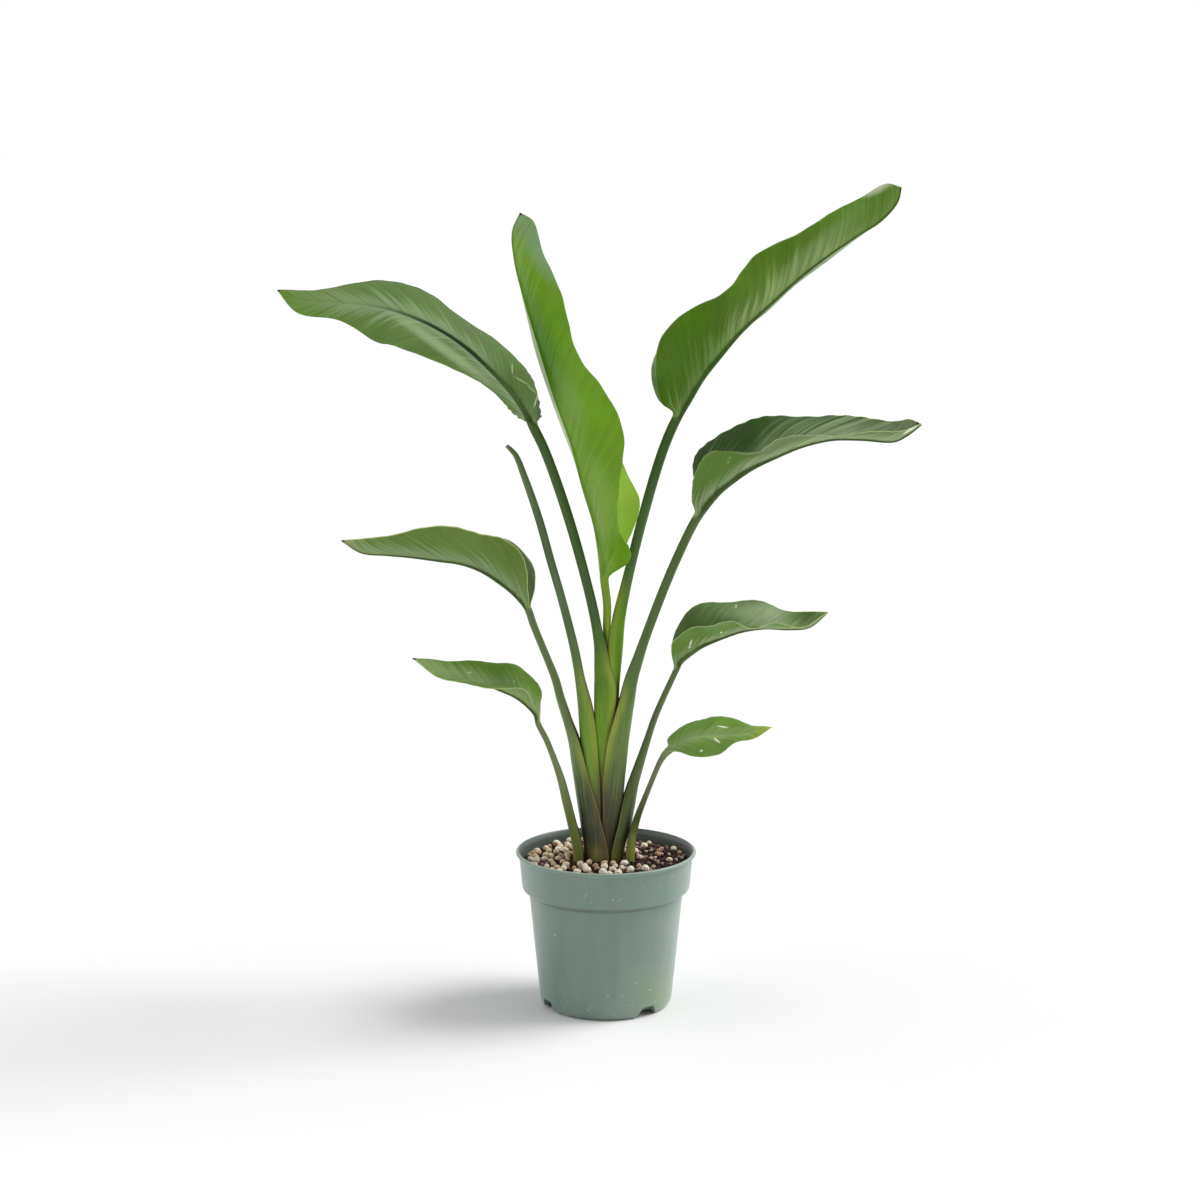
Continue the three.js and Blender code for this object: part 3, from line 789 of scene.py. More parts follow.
        # Painted shade on the inside wall above the mix and inside the lip.
        upright = radius - (z - self.collar_bottom) * self.collar_slope
        wall = upright.ramp(*self.inside_wall) * z.ramp(*self.above_step)
        lip = radius.ramp(*self.inside_lip) * z.ramp(*self.lip_top)
        inside = graph.maths("MAXIMUM", wall, lip)
        outside = 1 - inside
        painted_shade = graph.blend(inside * self.inside_shade_share, plain, self.painted_shade)
        # Painted shade in the crease under the collar.
        crease_shade = z.ramp(*self.crease_top) * z.ramp(*self.crease_bottom) * outside
        crease_shaded = graph.blend(crease_shade * self.crease_shade_share, painted_shade, self.painted_shade)
        # Lighter along the top of the rim.
        return self.pale_rim_top.over(crease_shaded, z, outside)

    def _flecks(self, place: Wire, z: Wire) -> Wire:
        """Return pale flecks of splashed mix, most near the foot and under the collar.

        Args:
            place: Object coordinates.
            z: Height.

        Returns:
            How strong the flecks are.
        """
        fleck = place.graph.cells(place, self.fleck_scale).ramp(*self.fleck_fade)
        splashed = self.splashes.at(place).ramp(*self.splash_fade)
        collar = z.ramp(*self.splash_collar) * self.splash_collar_share
        return fleck * splashed * (z.ramp(*self.splash_top) + collar + self.splash_everywhere)

    def _specks(self, x: Wire, z: Wire, grain: Wire) -> Wire:
        """Return the larger pale specks, as they are seen from the front.

        Args:
            x: Object X.
            z: Height.
            grain: Fine noise that breaks their edges.

        Returns:
            How strong the specks are.
        """
        none, full = self.speck_fade
        total: Wire | float = 0.0
        for speck_x, speck_z, radius in self.specks:
            right = x - speck_x
            up = z - speck_z
            reach = (right * right + up * up) ** 0.5 + (grain - 0.5) * radius
            total = reach.ramp(radius * none, radius * full) + total
        return total


@dataclass(frozen=True)
class SoilFinish:
    """Dark, damp peat with fibres."""

    dark: Colour = srgb(32, 22, 20)
    crumbs: Clouds = Clouds(340.0, 4.0, 0.65)
    brown: Stain = Stain(srgb(84, 60, 50), (0.38, 0.66))
    fibres: Clouds = Clouds(620.0)
    fibre_stretch: Place = (1.0, 0.3, 1.0)
    straw: Stain = Stain(srgb(132, 96, 70), (0.6, 0.72), 0.5)
    roughness: float = 0.75
    roughness_spread: float = 0.2
    relief_depth: float = 1.2

    def material(self) -> Material:
        """Build the peat's material.

        Returns:
            The material.
        """
        graph = MaterialGraph("peat")
        place = graph.position()
        crumb = self.crumbs.at(place)
        fibre = self.fibres.at(graph.stretch(place, self.fibre_stretch))
        fibred = self.straw.over(self.brown.over(self.dark, crumb), fibre)
        roughness = self.roughness + crumb * self.roughness_spread
        constants = {"Specular IOR Level": 0.3}
        return graph.close(fibred, roughness, crumb, self.relief_depth, constants)


@dataclass(frozen=True)
class StoneFinish:
    """Small loose stones or crumbs, each of its own tone."""

    name: str
    stops: tuple[tuple[float, Colour], ...]
    pore: Stain
    pores: Clouds = Clouds(480.0, rough=0.6)
    pore_relief: float = 0.5
    grain: Clouds = Clouds(900.0, rough=0.6)
    grain_shading: float = 0.3
    dimmest: float = 0.85
    roughness: float = 0.86
    relief_depth: float = 0.5

    def material(self) -> Material:
        """Build the stones' material.

        Returns:
            The material, which reads each stone's tone.
        """
        graph = MaterialGraph(self.name)
        place = graph.position()
        tone = graph.attribute("tone")
        ramp = graph.node("ShaderNodeValToRGB", {"stops": self.stops}, {"Fac": tone})
        ground = Wire(graph, ramp.outputs["Color"])
        grain = self.grain.at(place)
        pores = self.pores.at(place)
        pitted = self.pore.over(ground, pores)
        grained = graph.shade(pitted, self.dimmest + grain * self.grain_shading)
        relief = grain - pores.ramp(*self.pore.fade) * self.pore_relief
        constants = {"Specular IOR Level": 0.25}
        return graph.close(grained, self.roughness, relief, self.relief_depth, constants)


PUMICE = StoneFinish(
    name="pumice",
    stops=(
        (0.0, srgb(150, 112, 88)),
        (0.2, srgb(214, 180, 150)),
        (0.5, srgb(240, 218, 190)),
        (0.8, srgb(248, 234, 208)),
        (1.0, srgb(252, 246, 230)),
    ),
    pore=Stain(srgb(128, 90, 62), (0.55, 0.68), 0.35),
)
PEAT_CRUMB = StoneFinish(
    name="peat_crumb",
    stops=(
        (0.0, srgb(20, 13, 12)),
        (0.5, srgb(42, 28, 25)),
        (0.84, srgb(78, 56, 50)),
        (1.0, srgb(204, 180, 166)),
    ),
    pore=Stain(srgb(28, 18, 16), (0.55, 0.68), 0.5),
)


# Mesh helpers


CORNER_SHARE = 0.45  # of a side, the most that the rounding of one corner takes
SHORTEST_GAP = 1e-4
DIRECTION_STEP = 1e-4  # each way along a curve, as a share of it
TO_THE_BACK = np.array([0.0, 1.0, 0.0])


def store_number(mesh: Mesh, name: str, values: Sequence[float] | Array) -> None:
    """Store a number at each point of a mesh, for a material or a node tree to read."""
    stored = mesh.attributes.new(name, "FLOAT", "POINT")
    stored.data.foreach_set("value", np.asarray(values, np.float32))


def add_piece(
    name: str,
    points: Array,
    faces: Sequence[Face],
    material: Material,
    numbers: Mapping[str, Array] | None = None,
    sharp_above: float = 50.0,
) -> Piece:
    """Make a mesh object at the origin.

    Args:
        name: The piece's name.
        points: Its points.
        faces: The point numbers of each face.
        material: Its finish.
        numbers: Numbers to store at its points.
        sharp_above: Edges that fold by more than this angle stay crisp.

    Returns:
        The object, linked to the scene.
    """
    mesh = bpy.data.meshes.new(name)
    mesh.from_pydata((points * MM).tolist(), [], [list(face) for face in faces])
    for key, values in (numbers or {}).items():
        store_number(mesh, key, values)
    mesh.materials.append(material)
    mesh.shade_smooth()
    mesh.set_sharp_from_angle(angle=math.radians(sharp_above))
    piece = bpy.data.objects.new(name, mesh)
    bpy.context.scene.collection.objects.link(piece)
    return piece


def set_evaluated(piece: Piece) -> Piece:
    """Turn what a piece's modifiers make into its own plain mesh.

    Args:
        piece: The object, which loses its modifiers.

    Returns:
        The same object.
    """
    bpy.context.view_layer.update()
    graph = bpy.context.evaluated_depsgraph_get()
    mesh = bpy.data.meshes.new_from_object(piece.evaluated_get(graph))
    piece.modifiers.clear()
    old = piece.data
    piece.data = mesh
    bpy.data.meshes.remove(old)
    mesh.name = piece.name
    return piece


def round_corners(profile: Outline, radius: float, steps: int = 4) -> list[tuple[float, float]]:
    """Round each inner corner of an open outline.

    Args:
        profile: The outline's corners.
        radius: How far from a corner the rounding starts, at most.
        steps: How many spans each rounding has.

    Returns:
        The rounded outline, with the same two ends.
    """
    corners = [np.array(corner, float) for corner in profile]
    rounded = [tuple(corners[0])]
    for before, corner, after in zip(corners, corners[1:], corners[2:]):
        start, end = (
            corner + unit(side) * min(radius, CORNER_SHARE * np.linalg.norm(side))
            for side in (before - corner, after - corner)
        )
        for step in range(steps + 1):
            share = step / steps
            point = (1 - share) ** 2 * start + 2 * share * (1 - share) * corner + share**2 * end
            rounded.append(tuple(point))
    rounded.append(tuple(corners[-1]))
    return rounded


def spin(profile: Outline, sides: int) -> tuple[Array, list[Face]]:
    """Turn an outline about +Z into a closed shell.

    Args:
        profile: Radius and height pairs; both ends are on the axis, and it runs up the outside.
        sides: How many sides the shell has.

    Returns:
        The points, with the two on the axis last, and the faces, which look outwards.
    """
    turns = 2 * math.pi * np.arange(sides) / sides
    inner = profile[1:-1]
    rings = [
        np.column_stack([r * np.cos(turns), r * np.sin(turns), np.full(sides, h)]) for r, h in inner
    ]
    ends = np.array([[0, 0, profile[0][1]], [0, 0, profile[-1][1]]], float)
    points = np.vstack([*rings, ends])
    first, last = len(inner) * sides, len(inner) * sides + 1
    top = (len(inner) - 1) * sides
    faces: list[Face] = []
    for j in range(sides):
        after = (j + 1) % sides
        faces.append((first, after, j))
        faces.append((last, top + j, top + after))
        for low in range(0, top, sides):
            high = low + sides
            faces.append((low + j, low + after, high + after, high + j))
    return points, faces


class SmoothCurve:
    """A centripetal Catmull-Rom curve; the first three numbers of a point are its place."""

    def __init__(self, points: Sequence[Sequence[float]]) -> None:
        """Keep the points."""
        self.points = np.array(points, float)

    def at(self, share: float) -> Array:
        """Return one point of the curve.

        Args:
            share: How far along it is, with equal shares between the curve's own points.

        Returns:
            The point, with every number that the curve's own points have.
        """
        last = len(self.points) - 1
        scaled = min(max(share, 0.0), 1.0) * last
        index = min(int(scaled), last - 1)
        weight = scaled - index
        p1, p2 = self.points[index], self.points[index + 1]
        p0 = self.points[index - 1] if index > 0 else 2 * p1 - p2
        p3 = self.points[index + 2] if index + 2 <= last else 2 * p2 - p1
        gaps = [
            max(float(np.sum((b - a)[:3] ** 2)) ** 0.25, SHORTEST_GAP)
            for a, b in ((p0, p1), (p1, p2), (p2, p3))
        ]
        leave = (p1 - p0) / gaps[0] - (p2 - p0) / (gaps[0] + gaps[1]) + (p2 - p1) / gaps[1]
        arrive = (p2 - p1) / gaps[1] - (p3 - p1) / (gaps[1] + gaps[2]) + (p3 - p2) / gaps[2]
        leave, arrive = leave * gaps[1], arrive * gaps[1]
        cubic = 2 * p1 - 2 * p2 + leave + arrive
        square = -3 * p1 + 3 * p2 - 2 * leave - arrive
        return p1 + leave * weight + square * weight**2 + cubic * weight**3

    def direction(self, share: float) -> Array:
        """Return the curve's direction at a share of the way."""
        before, after = max(share - DIRECTION_STEP, 0.0), min(share + DIRECTION_STEP, 1.0)
        return unit((self.at(after) - self.at(before))[:3])


# Leaves


class Lean(Enum):
    """The side of the fan that a leaf leans to."""

    LEFT = -1
    RIGHT = 1


@dataclass(frozen=True)
class Wave:
    """The slow wave of a blade's margins; its phase is in radians."""

    depth: float
    count: float
    phase: float


@dataclass(frozen=True)
class LeafShape:
    """The line and width of one leaf.

    A stem station is the centre of the round back, the back's radius and how far it wraps
    each way. The swings are how far each station's back is turned towards the near side. A
    blade row is its near margin, midrib and far margin, near being the -Y side.
    """

    name: str
    lean: Lean
    stalk: float
    sheath_top: float
    stem: tuple[Station, ...]
    swings: tuple[float, ...] = ()
    rows: tuple[Row, ...] = ()
    tip: Place = (0.0, 0.0, 0.0)
    bulge: tuple[float, float] = (0.0, 0.0)
    far_swell: float = 0.0
    wave: Wave = Wave(0.0, 0.0, 0.0)
    ruffle: float = 0.5
    frill: float = 0.0
    vein_lean: float = 0.8


@dataclass
class Ring:
    """One closed section of a leaf, with the numbers that its material reads."""

    points: Array
    numbers: dict[str, Array]


@dataclass
class Leaf:
    """One leaf: sheath, petiole, midrib and blade as a single closed piece.

    Shares run from -1 at a section's near margin to 1 at its far one. The rib's widths, its
    shoulder and its groove are multiples of its depth or its width.
    """

    shape: LeafShape
    finish: LeafFinish
    half_columns: int = 17
    column_crowding: float = 1.6
    stem_step: float = 5.0
    blade_steps: int = 9
    tip_gaps: tuple[float, ...] = (0.06, 0.025)
    sheath_wall: float = 1.8
    sheath_edge_thinning: float = 0.55
    closing_length: float = 35.0
    late_turn: int = 3
    groove_depth: float = 0.42
    petiole_edge: float = 0.25
    blade_thickness: float = 0.55
    margin_thinning: float = 0.22
    rib_depth: float = 0.75
    rib_taper: float = 0.85
    rib_breadth: float = 1.15
    least_rib_width: float = 0.2
    shoulder_depth: float = 0.12
    shoulder_width: float = 2.2
    rib_groove_depth: float = 0.3
    rib_groove_width: float = 0.8
    blade_grown: Span = (0, 0.75)
    green_grown: Span = (0.05, 0.55)
    green_reach: float = 6.0
    green_lag: float = 0.35
    vein_sweep: float = 1.6
    ruffles_per_wave: float = 5.3
    ruffle_wander: float = 1.3
    far_ruffle_shift: float = 3.1
    frills_per_ruffle: float = 2.3
    frill_wander: float = 2.0
    frill_fading: int = 7

    def __post_init__(self) -> None:
        """Lay out the curves that every section follows."""
        shape = self.shape
        columns = np.arange(-self.half_columns, self.half_columns + 1)
        self.shares = columns / self.half_columns
        self.last_station = len(shape.stem) - 1
        self.row_count = len(shape.rows) + 1 if shape.rows else 0
        self.spans = self.last_station + self.row_count
        midribs = [row[1] for row in shape.rows] + ([shape.tip] if shape.rows else [])
        self.spine = SmoothCurve([station[:3] for station in shape.stem] + midribs)
        swings = shape.swings or (0.0,) * len(shape.stem)
        self.stations = SmoothCurve(
            [(*station, swing) for station, swing in zip(shape.stem, swings)]
        )
        self.blade_across = TO_THE_BACK
        self.margins: list[SmoothCurve] = []
        if not shape.rows:
            return
        near, _, far = shape.rows[0]
        self.blade_across = unit(np.array(far, float) - np.array(near, float))
        top = self._stem_points(float(self.last_station))
        for edge, column in ((top[0], 0), (top[2 * self.half_columns], 2)):
            line = [row[column] for row in shape.rows]
            self.margins.append(SmoothCurve([edge, *line, shape.tip]))

    def _face_normal(self, along: Array, across: Array) -> Array:
        """Return the direction that the upper face looks in."""
        return unit(np.cross(along, across) * self.shape.lean.value)

    def _stem_points(self, station: float) -> Array:
        """Return the section of the sheath or petiole.

        Args:
            station: The station number. Past the last station the section follows the
                midrib on, for the blade's foot to grow out of.

        Returns:
            The section's points: round the back, then back along the inside.
        """
        middle = self.spine.at(station / self.spans)
        along = self.spine.direction(station / self.spans)
        climbed = min(station / self.last_station, 1.0)
        radius, wrap, swing = self.stations.at(climbed)[3:6]
        turned = climbed**self.late_turn
        across = TO_THE_BACK * (1 - turned) + self.blade_across * turned
        across = unit(across - along * float(across @ along))
        back = -self._face_normal(along, across)
        swung = math.radians(swing)
        back, across = (
            back * math.cos(swung) - across * math.sin(swung),
            across * math.cos(swung) + back * math.sin(swung),
        )
        top = self.shape.sheath_top
        filled = smooth_step(middle[2], top - self.closing_length, top)
        if top == 0 or station > self.last_station:
            filled = 1.0
        turn = math.radians(wrap)
        shares = self.shares

        def place(backward: Array, sideways: Array) -> Array:
            """Return points from their offsets to the back and across."""
            return middle + np.outer(backward, back) + np.outer(sideways, across)

        outer = place(radius * np.cos(shares * turn), radius * np.sin(shares * turn))
        bore = radius - self.sheath_wall * (1 - self.sheath_edge_thinning * shares**2)
        hollow = place(bore * np.cos(shares * turn), bore * np.sin(shares * turn))
        edge = radius - self.petiole_edge * self.shape.stalk
        dip = -self.groove_depth * radius * (1 - shares**2) + edge * math.cos(turn) * shares**2
        channel = place(dip, shares * edge * math.sin(turn))
        inner = hollow * (1 - filled) + channel * filled
        return np.vstack([outer, inner[::-1]])

    def _stem_ring(self, station: float) -> Ring:
        """Return a section of the stem with its numbers.

        Args:
            station: The station number.

        Returns:
            The section.
        """
        both = np.concatenate([self.shares, self.shares[::-1]])
        zero = np.zeros(len(both))
        radius, wrap = self.stations.at(station / self.last_station)[3:5]
        arc = both * math.radians(wrap) * radius
        numbers = {
            "across": both,
            "upper": np.repeat([0.0, 1.0], len(self.shares)),
            "blade": zero,
            "vein": arc,
            "along": zero,
            "reach": np.abs(arc),
            "edge": abs(arc[0]) - np.abs(arc),
            "rib": zero + 1.0,
        }
        return Ring(self._stem_points(station), numbers)

    def _ripple(self, progress: float, half: int) -> tuple[float, float]:
        """Return how far the margin is lifted.

        Args:
            progress: How far along the blade, 0 to 1.
            half: 0 for the near half, 1 for the far one.

        Returns:
            The lift of the slow wave, then that of the small ruffles and frills.
        """
        shape = self.shape
        swell = math.sin(math.pi * progress)
        turn = 2 * math.pi * shape.wave.count * progress + shape.wave.phase
        lift = shape.wave.depth * swell * (math.cos(turn) if half else math.sin(turn))
        quick = 2 * math.pi * self.ruffles_per_wave * shape.wave.count * progress
        quick += self.far_ruffle_shift * half
        ruffle = shape.ruffle * swell * math.sin(quick + self.ruffle_wander * math.sin(turn))
        frilled = math.sin(self.frills_per_ruffle * quick + self.frill_wander * math.sin(turn))
        return lift, ruffle + shape.frill * (1 - progress) ** self.frill_fading * frilled

    def _half(
        self, row: float, half: int, midrib: Array, along: Array
    ) -> tuple[Array, Array, float]:
        """Return one half of a section of the blade.

        Args:
            row: How far along the blade, in rows.
            half: 0 for the near half, 1 for the far one.
            midrib: The midrib's place there.
            along: The midrib's direction there.

        Returns:
            Points and upper-face normals from midrib to margin, and the half's width.
        """
        shape = self.shape
        progress = row / self.row_count
        towards_far = 2 * half - 1
        margin = self.margins[half].at(progress)
        span = margin - midrib
        width = max(float(np.linalg.norm(span)), 1e-3)
        face = self._face_normal(along, span * towards_far)
        bulge = shape.bulge[half] * (1 + half * shape.far_swell * (1 - 2 * progress))
        control = midrib + span / 2 + face * bulge * width
        share = (np.abs(self.shares[self.half_columns :]) ** self.column_crowding)[:, None]
        points = (1 - share) ** 2 * midrib + 2 * share * (1 - share) * control + share**2 * margin
        slope = ((control - midrib) * (1 - share) + (margin - control) * share) * towards_far
        normals = np.cross(np.broadcast_to(along, slope.shape), slope) * shape.lean.value
        normals /= np.linalg.norm(normals, axis=1, keepdims=True)
        lift, ripple = self._ripple(progress, half)
        return points + normals * (lift * share**2 + ripple * share**6), normals, width

    def _blade_ring(self, row: float, length: float) -> Ring:
        """Return a section of the blade.

        Args:
            row: How far along the blade, in rows.
            length: How far along the midrib.

        Returns:
            The section: the back with its rib, then the upper face.
        """
        progress = row / self.row_count
        share = (self.last_station + row) / self.spans
        midrib = self.spine.at(share)
        along = self.spine.direction(share)
        near, near_normals, near_width = self._half(row, 0, midrib, along)
        far, far_normals, far_width = self._half(row, 1, midrib, along)
        crest = unit(near_normals[0] + far_normals[0])[None]
        middle = np.vstack([near[:0:-1], midrib[None], far[1:]])
        normals = np.vstack([near_normals[:0:-1], crest, far_normals[1:]])
        widths = np.where(np.sign(self.shares) < 0, near_width, far_width)
        spread = np.abs(self.shares) ** self.column_crowding
        reach = spread * widths
        rib = self.rib_depth * self.shape.stalk * (1 - self.rib_taper * progress)
        rib_width = self.rib_breadth * rib + self.least_rib_width
        bow = np.sqrt(np.clip(1 - (reach / rib_width) ** 2, 0, None))
        shoulder_fall = np.exp(-((reach / (self.shoulder_width * rib_width)) ** 2))
        shoulder = self.shoulder_depth * rib * shoulder_fall
        groove_fall = np.exp(-((reach / (self.rib_groove_width * rib_width)) ** 2))
        groove = self.rib_groove_depth * rib * groove_fall
        half_thickness = self.blade_thickness * (0.5 - self.margin_thinning * spread**4)
        outer = middle - normals * (half_thickness + rib * bow + shoulder)[:, None]
        inner = middle + normals * (half_thickness - groove)[:, None]
        points = np.vstack([outer, inner[::-1]])
        grown = smooth_step(row, *self.blade_grown)
        if grown < 1:
            points = self._stem_points(self.last_station + row) * (1 - grown) + points * grown
        green = smooth_step(row, *self.green_grown) + reach / self.green_reach - self.green_lag
        numbers = {
            "across": self.shares,
            "vein": length - self.vein_sweep * np.sqrt(reach) - self.shape.vein_lean * reach,
            "reach": reach,
            "edge": widths * (1 - spread),
            "along": np.full(len(spread), progress),
            "rib": np.full(len(spread), rib_width),
            "blade": np.clip(green if row < self.green_grown[1] else np.ones(len(spread)), 0, 1),
        }
        doubled = {key: np.concatenate([value, value[::-1]]) for key, value in numbers.items()}
        doubled["upper"] = np.repeat([0.0, 1.0], len(spread))
        return Ring(points, doubled)

    def rings(self) -> list[Ring]:
        """Return every section from the foot to the tip.

        Returns:
            The sections in order, all with as many points.
        """
        sections: list[Ring] = []
        for station in range(self.last_station):
            start, end = (np.array(s[:3]) for s in self.shape.stem[station : station + 2])
            count = max(1, round(float(np.linalg.norm(end - start)) / self.stem_step))
            sections += [self._stem_ring(station + step / count) for step in range(count)]
        sections.append(self._stem_ring(float(self.last_station)))
        if not self.row_count:
            return sections
        rows = [step / self.blade_steps for step in range(1, self.row_count * self.blade_steps)]
        rows += [self.row_count - gap for gap in self.tip_gaps]
        length, previous = 0.0, self.spine.at(self.last_station / self.spans)
        for row in rows:
            here = self.spine.at((self.last_station + row) / self.spans)
            length += float(np.linalg.norm(here - previous))
            previous = here
            sections.append(self._blade_ring(row, length))
        return sections

    def _faces(self, ring_count: int, size: int) -> list[Face]:
        """Return the faces of a loft of closed sections, with both ends closed.

        Args:
            ring_count: How many sections there are.
            size: How many points each has.

        Returns:
            The faces, which look outwards.
        """
        faces: list[Face] = []
        for i in range(ring_count - 1):
            for j in range(size):
                a, b = i * size + j, i * size + (j + 1) % size
                faces.append((a, b, b + size, a + size))
        last = (ring_count - 1) * size
        for j in range(size // 2 - 1):
            mirror = size - 1 - j
            faces.append((j, mirror, mirror - 1, j + 1))
            faces.append((last + j, last + j + 1, last + mirror - 1, last + mirror))
        if self.shape.lean is Lean.LEFT:
            faces = [face[::-1] for face in faces]
        return faces

    def build(self) -> Piece:
        """Make the leaf's mesh and dress it.

        Returns:
            The leaf.
        """
        sections = self.rings()
        points = np.vstack([section.points for section in sections])
        numbers = {
            key: np.concatenate([section.numbers[key] for section in sections])
            for key in sections[0].numbers
        }
        name = f"{self.shape.name}_grown"
        faces = self._faces(len(sections), len(sections[0].points))
        return add_piece(name, points, faces, self.finish.material(self.shape.name), numbers)


LEAF_CENTRE = LeafShape(
    name="leaf_centre", lean=Lean.LEFT, stalk=4.4, sheath_top=0,
    stem=(
        (-2.2, 0, 100, 3.1, 135), (-2.2, 0, 200, 3.2, 135), (0, 0, 250, 3.6, 135),
        (2.2, 0.6, 300, 3.8, 135), (2.2, 3, 322, 3.9, 135), (1.2, 3, 340, 4, 135),
        (1.5, -2, 362, 4.2, 135), (-1, -5, 384, 4.3, 135),
    ),
    rows=(
        ((21, -24, 407), (-2.5, -6, 400.5), (18.5, 17, 413)),
        ((11, -50, 438.5), (-8, -8, 433), (29.5, 26, 447.5)),
        ((12, -57, 479.5), (-18, -11, 466.5), (19.5, 28, 472.5)),
        ((13.5, -56, 518.5), (-28.5, -14, 504.5), (5, 33, 504)),
        ((-1.5, -62, 556.5), (-42, -17, 542.5), (-15, 32, 548)),
        ((-23.5, -65, 589), (-55, -20, 584.5), (-34, 28, 583.5)),
        ((-38.5, -59, 636), (-67.5, -23, 626), (-48.5, 17, 631)),
        ((-53, -51, 670), (-76.5, -26, 661), (-61, 2, 668)),
        ((-60.5, -40, 695.5), (-78.5, -28, 686.5), (-68, -12, 692)),
    ),
    tip=(-72, -30, 702.5), bulge=(-0.12, -0.66), far_swell=0.5, wave=Wave(2.5, 3, 0.3),
    frill=1.6,
)
LEAF_UPPER_RIGHT = LeafShape(
    name="leaf_upper_right", lean=Lean.RIGHT, stalk=4.8, sheath_top=355,
    stem=(
        (-2.2, 0, 100, 5, 125), (-2.2, 0, 140, 5, 125), (-2.2, 0, 185, 5, 125),
        (-1, 0, 213, 5.4, 122), (1.4, 0, 240, 6, 118), (4, 0, 272, 6.9, 110),
        (5.2, 0.3, 293, 7, 110), (7.6, 0.5, 320, 7.1, 118), (10.6, 3, 347, 6.2, 126),
        (18, 8, 382, 5.2, 135), (31, 10, 435, 5, 135), (49, 12, 496, 4.9, 135),
        (60, 13, 522, 4.8, 135),
    ),
    swings=(0, 0, 0, 0, 0, 6, 16, 34, 30, 10, 0, 0, 0),
    rows=(
        ((45.5, -6, 543.5), (71, 14, 540), (43.5, 30, 542)),
        ((42, -14, 568.5), (82.5, 17, 558.5), (39.5, 46, 564)),
        ((47.5, -12, 595), (96.5, 21, 575.5), (48.5, 60, 583)),
        ((67.5, -12, 618.5), (116, 26, 598), (74.5, 72, 608.5)),
        ((103, -12, 637.5), (140.5, 32, 620.5), (105.5, 82, 623.5)),
        ((129, -2, 664.5), (168, 38, 644.5), (134.5, 85, 653.5)),
        ((161, 11, 682), (194.5, 44, 664), (167, 85, 673.5)),
        ((192, 28, 699.5), (219.5, 50, 680), (198.5, 80, 692)),
        ((220, 44, 711.5), (241, 55, 693.5), (225.5, 74, 708)),
        ((243.5, 54, 724), (254, 57, 708.5), (245.5, 66, 721)),
    ),
    tip=(257, 58, 721), bulge=(-0.1, -0.62), far_swell=-0.45, wave=Wave(3, 3.5, 2.2),
)
LEAF_UPPER_LEFT = LeafShape(
    name="leaf_upper_left", lean=Lean.LEFT, stalk=4.5, sheath_top=360,
    stem=(
        (-2.4, 0, 100, 7.2, 120), (-2.4, 0, 140, 7.2, 120), (-2.6, 0, 185, 7, 120),
        (-2.8, 0, 204, 7.6, 120), (-2.2, 0, 222, 8.3, 122), (-1.4, 0, 239, 9.2, 124),
        (-0.2, 0, 258, 10.4, 126), (1, 0, 276, 11.6, 128), (0.8, 0, 291, 11.4, 127),
        (-1.6, 0, 306, 9, 120), (-3.4, 0, 321, 7.2, 118), (-6.4, 0, 335, 5.4, 126),
        (-13, -1, 366, 4.6, 135), (-32, -3, 437, 4.5, 135), (-53, -5, 498, 4.3, 135),
        (-62, -6, 517, 4.3, 135),
    ),
    rows=(
        ((-56, -20, 532), (-69, -6, 532), (-77, 6, 526.5)),
        ((-62, -35, 564), (-81.5, -8, 550), (-94, 18, 541)),
        ((-83, -49, 586), (-104, -12, 574.5), (-120, 23, 558.5)),
        ((-116, -60, 613.5), (-130.5, -17, 597), (-146, 22, 573.5)),
        ((-147, -62, 639), (-161.5, -23, 614), (-181.5, 12, 585)),
        ((-182, -66, 646), (-191.5, -30, 624), (-196, -2, 590)),
        ((-217.5, -66, 644.5), (-223, -37, 628), (-226, -16, 611.5)),
        ((-248.5, -59, 640), (-254, -42, 630.5), (-261.5, -34, 618.5)),
    ),
    tip=(-277, -46, 639), bulge=(0.1, 0.08), wave=Wave(2.5, 3, 1.1), ruffle=0.25, frill=2.4,
)
LEAF_MID_RIGHT = LeafShape(
    name="leaf_mid_right", lean=Lean.RIGHT, stalk=4.8, sheath_top=320,
    stem=(
        (-1.6, 0, 100, 13, 96), (-1.6, 0, 140, 13, 96), (-0.3, 0, 167, 13.6, 101),
        (1.2, 0, 185, 14, 106), (2.3, 0, 204, 14.4, 111), (4.4, 0, 222, 14.2, 113),
        (6.5, -1, 240, 13.8, 112), (10.4, -2, 258, 12.4, 110), (16, -3, 277, 9.5, 117),
        (20.8, -4, 295, 7.2, 128), (27, -5, 313, 5.6, 135), (33, -5, 331, 4.8, 135),
        (46, -7, 367, 4.6, 135), (60, -9, 402, 4.5, 135), (77, -11, 438, 4.4, 135),
    ),
    rows=(
        ((73.5, -29, 462.5), (88.5, -12, 454), (76, 5, 465)),
        ((73.5, -44, 480), (97.5, -15, 464.5), (76, 16, 481)),
        ((82.5, -57, 495.5), (109.5, -18, 474.5), (83, 20, 496)),
        ((95.5, -66, 506), (125, -22, 485.5), (97, 17, 510)),
        ((126.5, -74, 506.5), (145.5, -27, 496), (124.5, 15, 519.5)),
        ((149, -76, 515), (167, -32, 505.5), (152.5, 6, 527)),
        ((184, -75, 521.5), (192, -38, 512), (185, -4, 529)),
        ((211, -72, 521), (217.5, -43, 512.5), (216, -16, 526.5)),
        ((238.5, -66, 520.5), (244, -48, 511.5), (244.5, -31, 527)),
        ((254, -59, 523.5), (255, -50.5, 517), (257, -42, 529.4)),
    ),
    tip=(267, -51, 526.2), bulge=(0.1, 0.08), wave=Wave(3, 4, 0.6), vein_lean=1.5,
)
